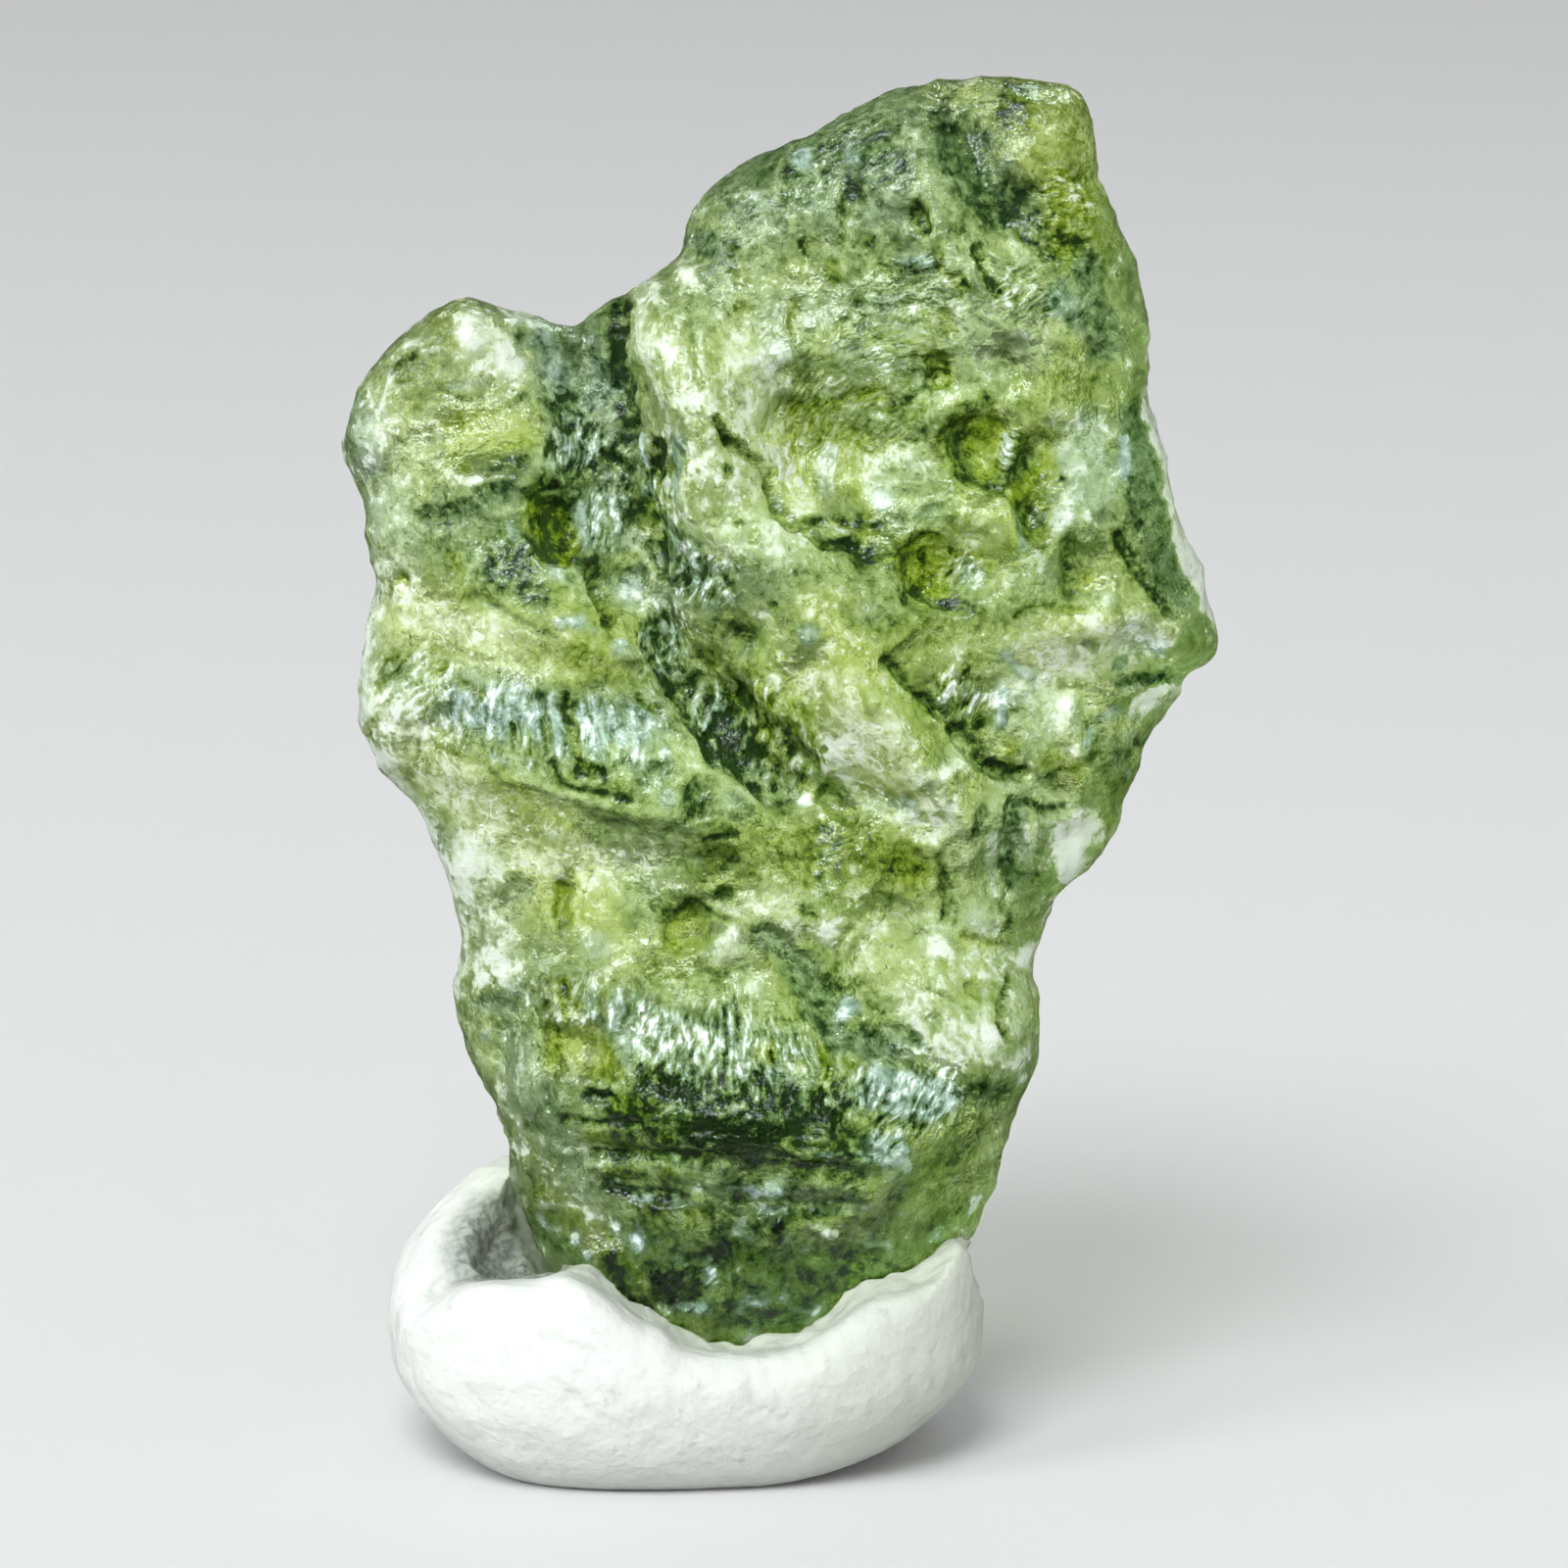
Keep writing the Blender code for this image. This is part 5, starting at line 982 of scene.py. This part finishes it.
putty, tree, shader, output = new_material("white putty")
link = tree.links.new
shader.inputs["IOR"].default_value = PUTTY_IOR
place = add_node(tree, "ShaderNodeTexCoord").outputs["Object"]
hollow_share, near_share = (add_node(tree, "ShaderNodeAttribute", attribute_name=name).outputs["Fac"]
                            for name in ("hollow", "near_stone"))

# A fingertip left fine ridges on the front, in patches.
swirl = add_node(tree, "ShaderNodeVectorMath", operation="SUBTRACT")
link(place, swirl.inputs[0])
swirl.inputs[1].default_value = PRINT_MIDDLE
away = add_node(tree, "ShaderNodeVectorMath", operation="LENGTH")
link(swirl.outputs[0], away.inputs[0])
sway = pattern(tree, "ShaderNodeTexNoise", place, 2.5, Detail=1.0)
turns = calculate(tree, "MULTIPLY_ADD", away.outputs["Value"], math.tau / (PRINT_PITCH * MM),
                  calculate(tree, "MULTIPLY", sway.outputs["Fac"], 9.0))
patch = pattern(tree, "ShaderNodeTexNoise", place, 3.0, noise_dimensions="4D", W=4.0, Detail=1.0)
print_share = spread(tree, patch.outputs["Fac"], 0.45, 0.6, 0.0, 1.0)
prints = calculate(tree, "MULTIPLY", calculate(tree, "SINE", turns), print_share)
crumbly = pattern(tree, "ShaderNodeTexNoise", place, 0.16, Detail=4.0)
dented = pattern(tree, "ShaderNodeTexNoise", place, 0.9, Detail=3.0)
surface = bump(tree, prints, 0.011)
surface = bump(tree, crumbly.outputs["Fac"], 0.02, surface)
surface = bump(tree, dented.outputs["Fac"], 0.18, surface)
link(surface, shader.inputs["Normal"])
link(spread(tree, dented.outputs["Fac"], 0.3, 0.7, 0.5, 0.68), shader.inputs["Roughness"])

# Grey nicks and specks of dirt, painted shade in the hollow, a painted greenish shade beside the stone and a
# painted shade over the right end.
specks = pattern(tree, "ShaderNodeTexVoronoi", place, 0.9, voronoi_dimensions="4D", W=3.0)
speck = spread(tree, specks.outputs["Distance"], 0.03, 0.1, 0.35, 0.0)
nicks = pattern(tree, "ShaderNodeTexNoise", place, 0.5, Detail=4.0, Roughness=0.7)
nick = spread(tree, nicks.outputs["Fac"], 0.62, 0.72, 0.0, 0.2)
# The hollow's grey is painted shade, mixed in with the dirt.
hollow_shade = calculate(tree, "MULTIPLY", hollow_share, spread(tree, crumbly.outputs["Fac"], 0.35, 0.65, 0.55, 0.9))
dirt_and_hollow_shade = total(tree, speck, nick, hollow_shade, clamp=True)
# The putty's colour, darker and greener near the stone: painted shade.
putty_with_stone_shade = ramp(tree, near_share, [
    (0.0, (0.67, 0.69, 0.65)), (0.55, (0.63, 0.66, 0.58)), (1.0, (0.5, 0.55, 0.37)),
])
# Painted shade over the right end, darker towards the right.
sideways = add_node(tree, "ShaderNodeSeparateXYZ")
link(place, sideways.inputs[0])
right_end_shade = add_node(tree, "ShaderNodeMix", data_type="RGBA", B=(0.47, 0.51, 0.41, 1))
link(spread(tree, sideways.outputs[0], -0.004, 0.006, 0.0, 0.75), right_end_shade.inputs["Factor"])
link(putty_with_stone_shade, right_end_shade.inputs["A"])
dirtied_and_shaded = add_node(tree, "ShaderNodeMix", data_type="RGBA", B=(0.11, 0.13, 0.1, 1))
link(dirt_and_hollow_shade, dirtied_and_shaded.inputs["Factor"])
link(right_end_shade.outputs["Result"], dirtied_and_shaded.inputs["A"])
link(dirtied_and_shaded.outputs["Result"], shader.inputs["Base Color"])

putty_pad.data.materials.clear()
putty_pad.data.materials.append(putty)
putty_pad.data.shade_smooth()
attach(putty_pad, "root")
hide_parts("putty_pad")

# ---------------------------------------------------------------- the studio
# A pale table, a bright room all round, a big soft lamp overhead and a smaller one from the left. Three more
# lamps only glint in what is glossy, and there the room is dim, as it is round a show case.

bpy.ops.mesh.primitive_plane_add(size=4.0, location=(0, 0, 0))
table_top = bpy.context.object
table_top.name = "table_top"
table_paint, tree, shader, output = new_material("pale table")
shader.inputs["Base Color"].default_value = (0.66, 0.66, 0.65, 1)
shader.inputs["Roughness"].default_value = 0.7
table_top.data.materials.append(table_paint)
table_top.visible_glossy = False

ROOM_LOW, ROOM_HIGH = 1.21, 0.47  # how bright the room is level with the stone, and high above it
ROOM_MIRRORED = 0.05  # the share of it that shows in what is glossy

world = bpy.data.worlds.new("studio")
bpy.context.scene.world = world
world.use_nodes = True
tree = world.node_tree
sky = tree.nodes["Background"]
sky.inputs["Color"].default_value = (0.97, 0.98, 1.0, 1)
direction = add_node(tree, "ShaderNodeTexCoord")
parted = add_node(tree, "ShaderNodeSeparateXYZ")
tree.links.new(direction.outputs["Generated"], parted.inputs[0])
room = spread(tree, parted.outputs["Z"], 0.1, 0.7, ROOM_LOW, ROOM_HIGH)
mirrored = add_node(tree, "ShaderNodeLightPath").outputs["Is Glossy Ray"]
dimmed = calculate(tree, "MULTIPLY_ADD", mirrored, ROOM_MIRRORED - 1, 1.0)
tree.links.new(calculate(tree, "MULTIPLY", room, dimmed), sky.inputs["Strength"])

TARGET = Vector((0.00003, 0.0, 0.01394))
LAMP_REACH = 0.6


def lamp(name, azimuth, elevation, size, power, colour):
    """A square soft lamp that faces the stone. Azimuth 0 is in front of it and 90 to its right."""
    a, e = math.radians(azimuth), math.radians(elevation)
    towards = Vector((math.sin(a) * math.cos(e), -math.cos(a) * math.cos(e), math.sin(e)))
    light = bpy.data.lights.new(name, "AREA")
    light.size = size
    light.energy = power
    light.color = colour
    made = bpy.data.objects.new(name, light)
    made.location = TARGET + towards * LAMP_REACH
    made.rotation_mode = "QUATERNION"
    made.rotation_quaternion = towards.to_track_quat("Z", "Y")
    bpy.context.scene.collection.objects.link(made)
    return made


for name, azimuth, height, size, power in (("overhead lamp", -16, 50, 0.26, 2.85),
                                           ("left lamp", -60, 30, 0.18, 1.15)):
    soft = lamp(name, azimuth, height, size, power, (0.96, 0.985, 1.0))
    soft.visible_glossy = False
for name, azimuth, height, size, power in (("glint, above", -12, 50, 0.12, 0.9),
                                           ("glint, left", -50, 30, 0.1, 0.6),
                                           ("glint, back", 160, 55, 0.12, 0.9)):
    sheen = lamp(name, azimuth, height, size, power, (0.78, 0.97, 1.0))
    sheen.visible_diffuse = False
    sheen.visible_transmission = False

CAMERA_ELEVATION_DEG = 12
CAMERA_DISTANCE = 0.160
camera = bpy.data.objects.new("camera", bpy.data.cameras.new("camera"))
camera.data.lens = 180
camera.data.sensor_width = 36
camera.data.clip_start = 0.001
elevation = math.radians(CAMERA_ELEVATION_DEG)
back = Vector((0, -math.cos(elevation), math.sin(elevation)))
camera.location = TARGET + back * CAMERA_DISTANCE
camera.rotation_mode = "QUATERNION"
camera.rotation_quaternion = back.to_track_quat("Z", "Y")
bpy.context.scene.collection.objects.link(camera)
bpy.context.scene.camera = camera
bpy.context.scene.view_settings.view_transform = "Standard"
bpy.context.scene.cycles.max_bounces = 5
bpy.context.scene.cycles.transmission_bounces = 5
bpy.context.scene.cycles.diffuse_bounces = 2
bpy.context.scene.cycles.glossy_bounces = 2
bpy.context.scene.cycles.adaptive_threshold = 0.2
